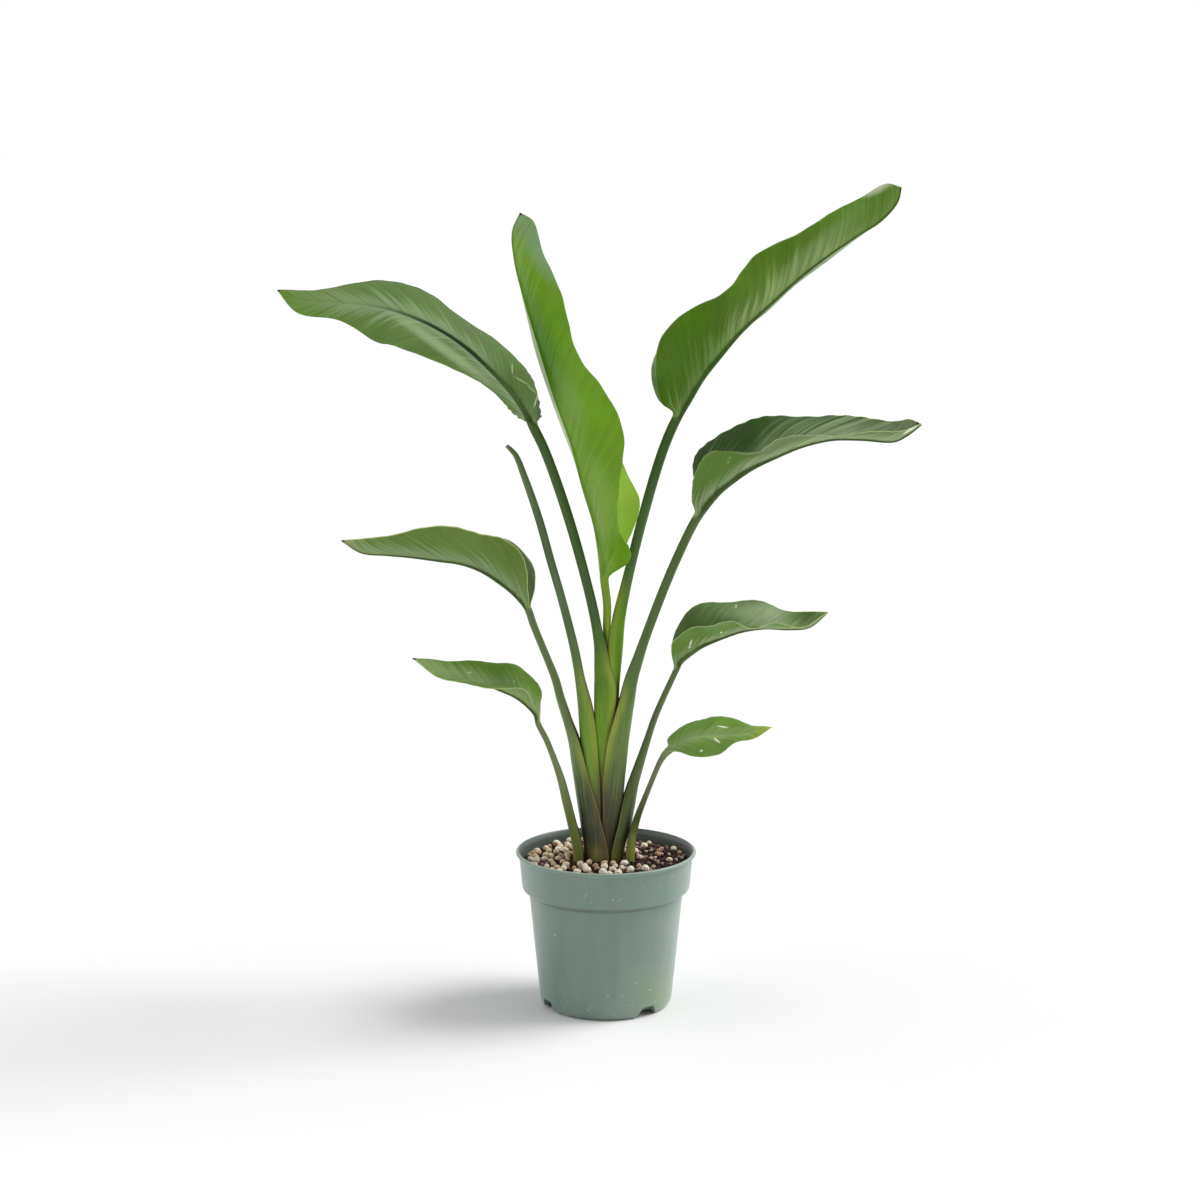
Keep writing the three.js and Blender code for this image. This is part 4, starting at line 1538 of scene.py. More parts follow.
LEAF_MID_LEFT = LeafShape(
    name="leaf_mid_left", lean=Lean.LEFT, stalk=3.6, sheath_top=280,
    stem=(
        (-2.2, 0, 100, 17.4, 104), (-2.2, 0, 140, 17.4, 104), (-7.2, 0, 167, 15.9, 102),
        (-11.1, 0, 185, 14.6, 101), (-14.8, 1, 203, 13.6, 94), (-19, 2, 221, 12, 93),
        (-24.2, 3, 239, 9.4, 95), (-31.8, 4, 257, 6.3, 105), (-39, 5, 275, 4.5, 130),
        (-44, 6, 293, 4, 135), (-51, 7, 311, 3.6, 135), (-58, 8, 328, 3.5, 135),
        (-64, 9, 343, 3.5, 135), (-68, 9.5, 355, 3.5, 135),
    ),
    rows=(
        ((-68, -4, 375), (-72.5, 10, 361.5), (-62.5, 23, 374)),
        ((-68.5, -10, 391), (-82, 12, 371), (-63, 34, 386.5)),
        ((-75, -8, 408.5), (-94, 15, 379.5), (-69.5, 45, 396)),
        ((-90, -4, 421.5), (-109.5, 19, 388.5), (-86, 53, 410)),
        ((-109.5, -1, 425), (-127.5, 24, 394), (-112.5, 59, 413)),
        ((-137, 8, 429), (-148.5, 29, 396), (-140, 61, 418.5)),
        ((-164, 17, 426.5), (-171, 34, 398), (-167, 61, 417)),
        ((-189, 25, 419.5), (-193, 39, 399), (-192, 60, 412)),
        ((-214.5, 34, 414.5), (-217, 43, 400.5), (-216.5, 56, 410.5)),
    ),
    tip=(-235, 46, 411), bulge=(-0.1, -0.4), wave=Wave(2, 3, 2.6), vein_lean=1.4,
)
LEAF_LOW_RIGHT = LeafShape(
    name="leaf_low_right", lean=Lean.RIGHT, stalk=3.4, sheath_top=225,
    stem=(
        (1, -1, 100, 15, 75), (1, -1, 138, 15, 75), (12, 0, 167, 11.4, 94),
        (15, 0, 176, 10, 102), (18, 1, 185, 8.6, 112), (21, 2, 194, 7, 122),
        (24, 2, 203, 5.8, 128), (30, 3, 221, 4.6, 132), (36, 4, 239, 3.6, 135),
        (42, 6, 257, 3.3, 135), (49, 7, 274, 3.1, 135), (56, 9, 289, 3, 135),
        (61, 9, 300, 3, 135),
    ),
    rows=(
        ((57.5, -2, 320.5), (65, 10, 308), (58.5, 24, 318)),
        ((59.5, -8, 330.5), (72.5, 12, 314), (62.5, 32, 335.5)),
        ((73, -12, 344.5), (84.5, 15, 321.5), (72, 39, 346.5)),
        ((92.5, -12, 342.5), (100.5, 19, 327.5), (91, 48, 354.5)),
        ((111, -6, 349), (119.5, 24, 333), (114, 54, 355.5)),
        ((129.5, 2, 339.5), (141, 29, 335), (138, 57, 352.5)),
        ((150.5, 14, 341.5), (161.5, 34, 333), (160, 55, 347)),
        ((175.5, 28, 337), (181, 38, 334), (181.5, 49, 346)),
    ),
    tip=(198, 42, 347), bulge=(0.1, 0.12), wave=Wave(2.5, 3.5, 4.2), ruffle=0.15,
)
LEAF_LOW_LEFT = LeafShape(
    name="leaf_low_left", lean=Lean.LEFT, stalk=2.9, sheath_top=228,
    stem=(
        (-22, -9, 100, 7.5, 102), (-22, -9, 142, 7.5, 102), (-29, -9, 169, 5.8, 112),
        (-34, -11, 188, 5, 122), (-39, -12, 207, 4, 130), (-45, -14, 225, 3.1, 135),
        (-52, -17, 244, 2.8, 135), (-59, -21, 259, 2.7, 135),
    ),
    rows=(
        ((-58.5, -32, 272.5), (-61, -24, 268), (-57, -18, 275.5)),
        ((-63.5, -46, 283.5), (-68, -27, 277), (-57, -8, 284)),
        ((-70.5, -54, 295.5), (-78.5, -31, 286), (-63, -6, 296)),
        ((-84, -63, 301), (-93, -36, 293.5), (-78, -10, 310.5)),
        ((-104.5, -67, 302), (-108.5, -42, 300.5), (-100.5, -15, 311.5)),
        ((-126, -67, 305), (-125.5, -48, 305), (-120.5, -28, 317.5)),
        ((-142, -66, 310), (-141.5, -53, 312.5), (-138.5, -38, 319.5)),
        ((-154.5, -64, 317.5), (-154, -57, 319), (-154, -50, 323)),
    ),
    tip=(-166, -60, 326), bulge=(0.1, 0.12), wave=Wave(1.6, 3, 1.7), ruffle=0.15,
)
LEAF_LOWEST_RIGHT = LeafShape(
    name="leaf_lowest_right", lean=Lean.RIGHT, stalk=2.7, sheath_top=190,
    stem=(
        (19.8, -9, 100, 6, 105), (19.8, -9, 144, 6, 105), (26.4, -10, 170, 3.8, 125),
        (33.4, -13, 189, 2.8, 135), (40.4, -17, 208, 2.5, 135), (48, -22, 227, 2.6, 135),
        (54, -26, 236, 3.4, 135),
    ),
    rows=(
        ((63, -39, 238.5), (62, -30, 241), (54.5, -19, 247)),
        ((73, -49, 237.5), (72, -33, 248.5), (65, -16, 254)),
        ((84.5, -56, 237.5), (81.5, -36, 251.5), (81.5, -15, 261.5)),
        ((97, -62, 242.5), (94, -40, 253.5), (91.5, -20, 266)),
        ((109, -64, 251.5), (107.5, -44, 254.5), (110.5, -26, 264.5)),
        ((123.5, -61, 254), (121.5, -48, 257.5), (125, -36, 262.5)),
        ((133, -57, 258), (132.5, -51, 261), (134, -46, 263)),
    ),
    tip=(143, -54, 264), bulge=(0.12, 0.12), wave=Wave(1.4, 3, 0.9), ruffle=0.12,
)
CUT_PETIOLE = LeafShape(
    name="cut_petiole", lean=Lean.LEFT, stalk=4.2, sheath_top=300,
    stem=(
        (-2.6, 0, 100, 12.8, 84), (-2.6, 0, 140, 12.8, 84), (-6, 0, 167, 12.1, 96),
        (-8.5, 0, 185, 11.6, 108), (-11.1, 0, 204, 11.4, 122), (-11.6, 1, 221, 11.2, 118),
        (-12.2, 2, 239, 10.8, 116), (-16.1, 3, 266, 8.6, 124), (-21.9, 4, 293, 5.4, 132),
        (-27, 5, 320, 4.6, 135), (-38, 7, 364, 4.2, 135), (-48, 9, 399, 4.1, 135),
        (-58, 11, 435, 4, 135), (-71, 13, 473, 3.4, 135), (-79, 15, 492, 2.7, 135),
        (-86.6, 16, 499.5, 1.9, 135),
    ),
)

LEAF_CENTRE_TISSUE = LeafFinish(
    back=srgb(104, 150, 20), upper=srgb(130, 168, 46), painted_sheen_back=srgb(140, 172, 92),
    painted_sheen_upper=srgb(150, 184, 84), painted_sheen_share=0.42, painted_sheen_reach_back=24, painted_sheen_reach_upper=30,
    # Painted sheen: the pale grey-green tip colour of this leaf.
    rib_share=0.8, tip=srgb(134, 160, 118), tip_share=0.8, tip_start=0.82,
    rib_back=srgb(88, 132, 16), margin=srgb(150, 182, 70), margin_share=0.25,
    petiole=srgb(124, 152, 40), sheath=srgb(124, 148, 40),
    marks=(
        # Painted sheen at the top of the blade.
        bloom(-52, 672, 26, 12, -60, srgb(132, 160, 122), share=0.75),
        bloom(-50, 584, 52, 12, -68, srgb(74, 128, 8), Half.NEAR, 0.8),
        # Painted reflection: pale strips on the far half's back beside the rib, where it is seen
        # edge-on.
        bloom(-47, 566, 64, 9, -68, srgb(204, 216, 178), Half.FAR_RIB, 0.85),
        bloom(-24, 500, 80, 11, -66, srgb(206, 218, 170), Half.FAR_RIB, 0.85),
        bloom(-6, 446, 46, 9, -74, srgb(190, 206, 120), Half.FAR_RIB, 0.6),
        # Painted glow: the far lobe made bright lemon-green as if lit through from behind.
        bloom(24, 446, 64, 26, 84, srgb(210, 244, 112), Half.FAR, 1),
        # Painted glow: pale yellow-green near the lower midrib, for light shining through the
        # blade.
        bloom(-31, 545, 26, 9, -70, srgb(134, 166, 84), share=0.45),
        bloom(-5, 461, 34, 9, -78, srgb(136, 168, 78), share=0.5),
        bloom(-12, 404, 14, 8, -80, srgb(150, 180, 84), share=0.5),
        Mark(-72, 702, 1.8, 1.6, 0, DEAD_TISSUE, Half.BOTH),
    ),
    seed=1.0,
)
LEAF_UPPER_RIGHT_TISSUE = LeafFinish(
    back=srgb(78, 116, 14), upper=srgb(118, 142, 96), painted_sheen_back=srgb(142, 166, 102),
    painted_sheen_upper=srgb(134, 156, 112), painted_sheen_share=0.75, painted_sheen_reach_back=32,
    tip=srgb(84, 114, 30), tip_share=0.7, tip_start=0.84, rib_back=srgb(60, 90, 28),
    margin=srgb(186, 202, 150), margin_share=0.4, petiole=srgb(76, 102, 56),
    sheath=srgb(104, 146, 30), foot_shade_share=0.6, sheath_top=392,
    marks=(
        # Painted reflection: a pale strip on the far half near the tip.
        bloom(214, 678, 34, 5, 36, srgb(160, 178, 132), Half.FAR, 0.8),
        bloom(47, 556, 10, 5, 80, srgb(56, 84, 26), share=0.5),
        bloom(70, 572, 40, 17, 56, srgb(72, 112, 20), Half.NEAR, 0.75),
        bloom(228, 704, 34, 17, 36, srgb(84, 120, 30), Half.NEAR, 0.85),
        # Painted sheen along the midrib.
        bloom(180, 668, 44, 7, 40, srgb(132, 156, 100), share=0.4),
        bloom(237, 722, 14, 4.5, 28, srgb(196, 206, 166), Half.NEAR, 0.85),
        Mark(257, 718, 1.2, 1.2, 0, DEAD_TISSUE, Half.BOTH),
    ),
    seed=2.0,
)
LEAF_UPPER_LEFT_TISSUE = LeafFinish(
    back=srgb(96, 128, 58), upper=srgb(84, 112, 56), painted_sheen_back=srgb(146, 168, 126),
    painted_sheen_share=0.75, ray_contrast=1.9, tip=srgb(98, 134, 30), tip_share=0.85, tip_start=0.64,
    rib_back=srgb(28, 54, 10), rib_end=0.62, margin=srgb(96, 100, 66), margin_share=0.5,
    petiole=srgb(70, 96, 50), sheath=srgb(108, 148, 38), foot_shade_share=0.6, sheath_top=330,
    marks=(
        Mark(-277, 639, 2.8, 2.6, 0, DEAD_TISSUE, Half.BOTH),
        bloom(-74, 553, 34, 13, -50, srgb(82, 112, 48), Half.NEAR, 0.85),
        # Painted sheen: a pale strip on the far half along the midrib.
        bloom(-142, 586, 44, 4.5, -38, srgb(160, 180, 132), Half.FAR, 0.8),
        Mark(-80, 571, 5, 0.6, 88, PALE_SCAR, share=0.6),
        Mark(-72.5, 560, 7, 0.55, -28, PALE_SCAR, share=0.6),
        Mark(-63.5, 553, 4.5, 0.55, -38, PALE_SCAR, share=0.5),
        Mark(-60, 543, 6.5, 0.7, 74, PALE_SCAR, share=0.8),
        bloom(-57, 540, 14, 2.6, 84, srgb(74, 86, 62), Half.NEAR, 0.8),
    ),
    seed=3.0,
)
LEAF_MID_RIGHT_TISSUE = LeafFinish(
    back=srgb(82, 113, 34), upper=srgb(66, 94, 46), painted_sheen_back=srgb(158, 174, 132),
    painted_sheen_upper=srgb(140, 158, 120), painted_sheen_share=0.9, ray_contrast=1.7, painted_sheen_reach_back=23,
    painted_sheen_reach_upper=44, tip=srgb(84, 116, 34), tip_share=0.5, tip_start=0.86,
    margin=srgb(196, 214, 138), margin_share=0.85, petiole=srgb(86, 108, 62),
    sheath=srgb(108, 138, 68), foot_shade_share=0.8, foot=srgb(68, 72, 50),
    marks=(
        Mark(105, 496, 1.6, 1.1, 60, PALE_SCAR),
        Mark(103.8, 491.8, 1.5, 1.3, 20, PALE_SCAR),
        bloom(121, 505, 12, 8, 40, srgb(52, 84, 36), Half.FAR, 0.8),
        bloom(94, 490, 24, 15, 44, srgb(82, 120, 34), Half.NEAR, 0.85),
        bloom(10, 205, 46, 10, 84, srgb(88, 88, 60), share=0.4),
        bloom(4, 172, 24, 9, 88, srgb(78, 72, 54), share=0.4),
        Mark(258.5, 523, 9, 1.3, 34, WHITE_SCAR, share=0.9),
        Mark(264, 527.5, 2.4, 0.9, 50, DEAD_TISSUE, Half.BOTH),
    ),
    seed=4.0,
)
LEAF_MID_LEFT_TISSUE = LeafFinish(
    back=srgb(98, 128, 54), upper=srgb(112, 134, 88), painted_sheen_back=srgb(142, 164, 118),
    painted_sheen_share=0.75, painted_sheen_reach_back=22, tip=srgb(128, 144, 88), tip_start=0.88,
    tip_share=0.6, margin=srgb(196, 210, 140), margin_share=0.95, margin_width=0.8,
    ray_contrast=1.6, petiole=srgb(106, 124, 80), sheath=srgb(120, 146, 84), foot_shade_share=0.75,
    foot=srgb(86, 92, 68), sheath_top=250,
    marks=(
        Mark(-234, 411, 2.4, 1.8, 0, DEAD_TISSUE, Half.BOTH),
        Mark(-229, 411, 5.5, 1.4, -20, srgb(170, 150, 98), Half.BOTH, 0.7),
        bloom(-82, 404, 14, 9, -60, srgb(88, 118, 44), Half.NEAR, 0.6),
    ),
    seed=5.0,
)
LEAF_LOW_RIGHT_TISSUE = LeafFinish(
    back=srgb(92, 130, 38), upper=srgb(78, 104, 54), painted_sheen_back=srgb(160, 176, 136),
    painted_sheen_share=0.85, painted_sheen_reach_back=14, painted_sheen_reach_upper=15, tip=srgb(102, 130, 54),
    margin=srgb(196, 212, 140), margin_share=0.85, ray_contrast=1.2,
    petiole=srgb(98, 113, 74), sheath=srgb(130, 150, 76), strip_foot=srgb(90, 108, 50),
    foot_shade_share=0.4, foot=srgb(84, 94, 56), sheath_top=205,
    marks=(
        Mark(74.3, 325.5, 3.8, 0.8, 72, WHITE_SCAR),
        Mark(73.4, 321.5, 1.6, 1, 20, WHITE_SCAR),
        Mark(116, 351, 1.2, 0.6, 70, WHITE_SCAR, Half.FAR, 0.8),
        Mark(101.4, 334.4, 1.2, 0.8, 40, WHITE_SCAR),
        # Painted sheen on the far half.
        bloom(136, 346, 26, 7, -4, srgb(142, 160, 118), Half.FAR, 0.75),
        bloom(74, 316, 12, 8, 50, srgb(96, 122, 52), Half.NEAR, 0.5),
    ),
    seed=6.0,
)
LEAF_LOW_LEFT_TISSUE = LeafFinish(
    back=srgb(104, 134, 56), upper=srgb(106, 144, 48), painted_sheen_back=srgb(148, 168, 114),
    painted_sheen_upper=srgb(158, 178, 124), painted_sheen_share=0.7, painted_sheen_reach_back=20, painted_sheen_reach_upper=24,
    tip=srgb(120, 146, 66), margin=srgb(196, 212, 140), margin_share=0.85, ray_contrast=1.4,
    petiole=srgb(116, 129, 86), sheath=srgb(126, 146, 80), strip_foot=srgb(98, 122, 48),
    foot=srgb(98, 106, 58), sheath_top=200,
    marks=(
        Mark(-118, 309, 2.2, 0.5, 5, PALE_SCAR, Half.FAR, 0.7),
        Mark(-80, 298, 1.6, 0.6, -40, PALE_SCAR, Half.FAR, 0.5),
        Mark(-165, 325.5, 2.2, 1.8, 0, DEAD_TISSUE, Half.BOTH),
        bloom(-88, 300, 16, 9, -30, srgb(84, 118, 46), Half.FAR, 0.5),
    ),
    seed=7.0,
)
LEAF_LOWEST_RIGHT_TISSUE = LeafFinish(
    back=srgb(106, 134, 66), upper=srgb(108, 144, 60), painted_sheen_upper=srgb(150, 174, 112),
    painted_sheen_share=0.6, painted_sheen_reach_upper=14, tip=srgb(164, 186, 40), tip_share=0.8,
    rib_upper=srgb(168, 190, 138), margin=srgb(160, 182, 100), margin_share=0.4,
    rib_share=0.5, ray_contrast=1.2, petiole=srgb(112, 124, 88), sheath=srgb(136, 154, 88),
    strip_foot=srgb(118, 146, 46), foot=srgb(76, 84, 34), sheath_top=170,
    marks=(
        Mark(101.3, 260, 4.2, 0.5, -4, WHITE_SCAR, Half.BOTH, 0.9),
        Mark(96, 251, 2.6, 0.65, -24, WHITE_SCAR, Half.BOTH, 0.95),
        Mark(82.2, 242.5, 1.1, 0.7, 20, WHITE_SCAR, Half.BOTH, 0.9),
        Mark(53, 236.5, 4, 3, 40, srgb(150, 172, 104), Half.BOTH, 0.6, 1.5),
    ),
    seed=8.0,
)
CUT_PETIOLE_TISSUE = LeafFinish(
    petiole=srgb(94, 116, 76), sheath=srgb(116, 150, 56), foot=srgb(78, 78, 48),
    sheath_top=312,
    marks=(Mark(-86, 499, 5.0, 2.6, 60, srgb(122, 126, 118), Half.BOTH, 0.8),),
    seed=9.0,
)

LEAVES: tuple[tuple[LeafShape, LeafFinish], ...] = (
    (LEAF_CENTRE, LEAF_CENTRE_TISSUE),
    (LEAF_UPPER_RIGHT, LEAF_UPPER_RIGHT_TISSUE),
    (LEAF_UPPER_LEFT, LEAF_UPPER_LEFT_TISSUE),
    (LEAF_MID_RIGHT, LEAF_MID_RIGHT_TISSUE),
    (LEAF_MID_LEFT, LEAF_MID_LEFT_TISSUE),
    (LEAF_LOW_RIGHT, LEAF_LOW_RIGHT_TISSUE),
    (LEAF_LOW_LEFT, LEAF_LOW_LEFT_TISSUE),
    (LEAF_LOWEST_RIGHT, LEAF_LOWEST_RIGHT_TISSUE),
    (CUT_PETIOLE, CUT_PETIOLE_TISSUE),
)


# Pot and mix


@dataclass(frozen=True)
class NurseryPot:
    """A round moulded pot with a deep collar, a rolled lip and notched drainage."""

    finish: PotPlastic = PotPlastic()
    height: float = 140.0
    rim_radius: float = 80.0
    wall: float = 1.7
    floor: float = 2.4
    foot_radius: float = 53.5
    base_radius: float = 58.8
    corner_height: float = 5.5
    body_radius: float = 68.2
    collar_bottom: float = 105.5
    collar_low_radius: float = 74.4
    collar_top_radius: float = 77.2
    lip_height: float = 3.4
    bend: float = 1.5
    rounding: float = 1.6
    sides: int = 176
    sharp_above: float = 40.0
    recess: float = 4.2
    notch_angles: tuple[float, ...] = (-51.0, -152.0, 78.0)
    notch_width: float = 18.0
    notch_height: float = 9.6
    notch_slant: float = 6.0
    notch_depth: float = 16.0
    notch_inset: float = 1.0
    cutter_overhang: float = 3.0

    def outline(self) -> list[tuple[float, float]]:
        """Return the half section, up the outside and down the inside.

        Returns:
            Radius and height pairs, with both ends on the axis.
        """
        foot, base, body = self.foot_radius, self.base_radius, self.body_radius
        low, high, rim = self.collar_low_radius, self.collar_top_radius, self.rim_radius
        step, lip, top = self.collar_bottom, self.height - self.lip_height, self.height
        wall, bend, ground = self.wall, self.bend, self.recess + self.floor
        outer = [
            (0.0, self.recess),
            (foot - 2 * wall, self.recess),
            (foot - wall, 0.0),
            (foot, 0.0),
            ((foot + 2 * base) / 3, 0.25 * self.corner_height),
            (base, self.corner_height),
            (body, step - 3 * bend),
            (body + bend, step - bend),
            (low - bend, step),
            (low, step + bend),
            (high, lip),
            (rim - 0.5 * bend, lip),
            (rim, lip + bend),
            (rim, top - 0.5 * bend),
            (rim - bend, top),
        ]
        inner = [
            (high, top),
            (high - wall, lip),
            (low - wall, step + wall),
            (body - wall, step - wall),
            (base - wall, ground + wall),
            (foot, ground),
            (0.0, ground),
        ]
        return round_corners([*outer, *inner], self.rounding)

    def _notch_cutter(self, material: Material) -> Piece:
        """Make the wedges that the notches are cut with.

        Args:
            material: The pot's material, which the cut faces take.

        Returns:
            All the wedges as one object.
        """
        half, slant = self.notch_width / 2, 0.5 * self.notch_slant
        low, high, top = half + slant, half - slant, self.notch_height
        below = -self.cutter_overhang
        section = ((-low, below), (low, below), (low, 0.0), (high, top), (-high, top), (-low, 0.0))
        size = len(section)
        points: list[Array] = []
        faces: list[Face] = []
        for degrees in self.notch_angles:
            turn = math.radians(degrees)
            outward = np.array([math.cos(turn), math.sin(turn), 0.0])
            sideways = np.array([-math.sin(turn), math.cos(turn), 0.0])
            start = len(points)
            for reach in (-self.notch_depth / 2, self.notch_depth / 2):
                centre = outward * (self.base_radius - self.notch_inset + reach)
                for aside, rise in section:
                    points.append(centre + sideways * aside + np.array([0.0, 0.0, rise]))
            inner, outer = range(start, start + size), range(start + size, start + 2 * size)
            faces.append(tuple(reversed(inner)))
            faces.append(tuple(outer))
            for k in range(size):
                after = (k + 1) % size
                faces.append((inner[k], inner[after], outer[after], outer[k]))
        return add_piece("notch_cutter", np.array(points), faces, material)

    def build(self) -> Piece:
        """Make the pot and cut its notches.

        Returns:
            The pot.
        """
        points, faces = spin(self.outline(), self.sides)
        material = self.finish.material()
        pot = add_piece("nursery_pot", points, faces, material, sharp_above=self.sharp_above)
        cutter = self._notch_cutter(material)
        cut = pot.modifiers.new("notches", "BOOLEAN")
        cut.object = cutter
        cut.operation = "DIFFERENCE"
        cut.solver = "EXACT"
        set_evaluated(pot)
        bpy.data.objects.remove(cutter)
        pot.data.set_sharp_from_angle(angle=math.radians(self.sharp_above))
        return pot


class GeometryGraph(NodeGraph):
    """A Geometry Nodes tree with named inputs."""

    def __init__(self, name: str) -> None:
        """Make a tree that takes and gives geometry.

        Args:
            name: The tree's name.
        """
        super().__init__(bpy.data.node_groups.new(name, "GeometryNodeTree"))
        for way in ("INPUT", "OUTPUT"):
            self.tree.interface.new_socket("Geometry", in_out=way, socket_type="NodeSocketGeometry")
        self.entry = self.node("NodeGroupInput")

    def add_input(self, name: str, kind: str) -> Socket:
        """Add a named input and return where the tree reads it."""
        self.tree.interface.new_socket(name, in_out="INPUT", socket_type=kind)
        return self.entry.outputs[name]

    def output(
        self, kind: str, settings: Settings, sockets: Sockets, out: int | str = 0
    ) -> Socket:
        """Add a node and return one of its outputs."""
        return self.node(kind, settings, sockets).outputs[out]

    def maths(self, operation: str, first: object, second: object) -> Socket:
        """Work on two numbers."""
        return self.output("ShaderNodeMath", {"operation": operation}, {0: first, 1: second})

    def scaled(self, vector: object, factor: object) -> Socket:
        """Multiply a vector by a number."""
        sockets = {0: vector, "Scale": factor}
        return self.output("ShaderNodeVectorMath", {"operation": "SCALE"}, sockets)

    def number_between(self, low: object, high: object, seed: object) -> Socket:
        """Draw a number for each stone."""
        sockets = {2: low, 3: high, "Seed": seed}
        return self.output("FunctionNodeRandomValue", {"data_type": "FLOAT"}, sockets, 1)

    def vector_between(self, low: Place, high: Place, seed: object) -> Socket:
        """Draw three numbers for each stone."""
        sockets = {0: low, 1: high, "Seed": seed}
        return self.output("FunctionNodeRandomValue", {"data_type": "FLOAT_VECTOR"}, sockets)

    def set_inputs(self, modifier: bpy.types.Modifier, values: Settings) -> None:
        """Set a modifier's inputs by their sockets' identifiers.

        Args:
            modifier: The modifier that runs this tree.
            values: A value for each named input.
        """
        for item in self.tree.interface.items_tree:
            if item.item_type == "SOCKET" and item.in_out == "INPUT" and item.name in values:
                modifier[item.identifier] = values[item.name]


class Layer(Enum):
    """A layer of the dressing, by the number that the ground stores for it."""

    BED = "pumice_share"
    TOP = "top_share"
    CRUMBS = "crumb_share"


@dataclass(frozen=True)
class StoneScatter:
    """Stones or crumbs strewn over the mix, each lumpy, turned and toned by chance.

    Rise and the lowest and highest forms are multiples of a stone's radius. Its turns are in
    radians, and density is the most stones to a square metre.
    """

    name: str
    layer: Layer
    finish: StoneFinish
    spacing: float
    smallest: float
    largest: float
    rise: float
    lumps: float
    seed: int
    subdivisions: int = 2
    density: float = 400000.0
    lowest_form: Place = (0.85, 0.75, 0.7)
    highest_form: Place = (1.2, 1.05, 0.97)
    least_turn: Place = (-0.5, -0.5, 0.0)
    most_turn: Place = (0.5, 0.5, 6.28)
    lump_fineness: float = 0.75
    lump_detail: float = 1.0

    def _tree(self, material: Material) -> GeometryGraph:
        """Build the scatter's node tree.

        Args:
            material: What the stones are dressed in.

        Returns:
            The tree, with its inputs not yet set.
        """
        graph = GeometryGraph(self.name)
        spacing, smallest, largest, rise, lumps = (
            graph.add_input(label, "NodeSocketFloat")
            for label in ("Spacing", "Smallest", "Largest", "Rise", "Lumps")
        )
        seed = graph.add_input("Seed", "NodeSocketInt")
        share = graph.output(
            "GeometryNodeInputNamedAttribute", {"data_type": "FLOAT"}, {"Name": self.layer.value}
        )
        strewn = graph.output(
            "GeometryNodeDistributePointsOnFaces",
            {"distribute_method": "POISSON"},
            {
                "Mesh": graph.entry.outputs["Geometry"],
                "Distance Min": spacing,
                "Density Max": self.density,
                "Density Factor": share,
                "Seed": seed,
            },
            "Points",
        )
        radius = graph.number_between(smallest, largest, seed)
        form = graph.vector_between(self.lowest_form, self.highest_form, seed)
        turn = graph.vector_between(self.least_turn, self.most_turn, seed)
        lift = graph.maths("MULTIPLY", radius, rise)
        offset = graph.output("ShaderNodeCombineXYZ", {}, {"Z": lift})
        raised = graph.output("GeometryNodeSetPosition", {}, {"Geometry": strewn, "Offset": offset})
        stone = graph.output(
            "GeometryNodeMeshIcoSphere", {}, {"Radius": 1.0, "Subdivisions": self.subdivisions}
        )
        scale = graph.scaled(form, radius)
        copies = graph.output(
            "GeometryNodeInstanceOnPoints",
            {},
            {"Points": raised, "Instance": stone, "Rotation": turn, "Scale": scale},
        )
        toned = graph.output(
            "GeometryNodeStoreNamedAttribute",
            {"data_type": "FLOAT", "domain": "INSTANCE"},
            {"Geometry": copies, "Name": "tone", "Value": graph.number_between(0.0, 1.0, seed)},
        )
        real = graph.output("GeometryNodeRealizeInstances", {}, {"Geometry": toned})
        bumps = graph.output(
            "ShaderNodeTexNoise",
            {},
            {"Scale": self.lump_fineness / (self.largest * MM), "Detail": self.lump_detail},
        )
        depth = graph.maths("MULTIPLY", graph.maths("SUBTRACT", bumps, 0.5), lumps)
        push = graph.scaled(graph.output("GeometryNodeInputNormal", {}, {}), depth)
        lumpy = graph.output("GeometryNodeSetPosition", {}, {"Geometry": real, "Offset": push})
        smooth = graph.output("GeometryNodeSetShadeSmooth", {}, {"Geometry": lumpy})
        dressed = graph.output(
            "GeometryNodeSetMaterial", {}, {"Geometry": smooth, "Material": material}
        )
        graph.node("NodeGroupOutput", None, {0: dressed})
        return graph

    def build(self, surface: Mesh) -> Piece:
        """Strew the stones over a surface.

        Args:
            surface: The ground, which stores the layer's share at its points.

        Returns:
            All the stones as one plain mesh.
        """
        graph = self._tree(self.finish.material())
        piece = bpy.data.objects.new(self.name, surface.copy())
        bpy.context.scene.collection.objects.link(piece)
        modifier = piece.modifiers.new(self.name, "NODES")
        modifier.node_group = graph.tree
        values = {
            "Spacing": self.spacing * MM,
            "Smallest": self.smallest * MM,
            "Largest": self.largest * MM,
            "Rise": self.rise,
            "Lumps": self.lumps * MM,
            "Seed": self.seed,
        }
        graph.set_inputs(modifier, values)
        return set_evaluated(piece)


@dataclass(frozen=True)
class Undulation:
    """Smooth noise over the ground, which a depth of its own sets apart from the others."""

    strength: float
    fineness: float
    depth: float

    def at(self, x: float, y: float) -> float:
        """Return its value at a place."""
        return self.strength * noise.noise(Vector((x, y, self.depth)) * self.fineness)


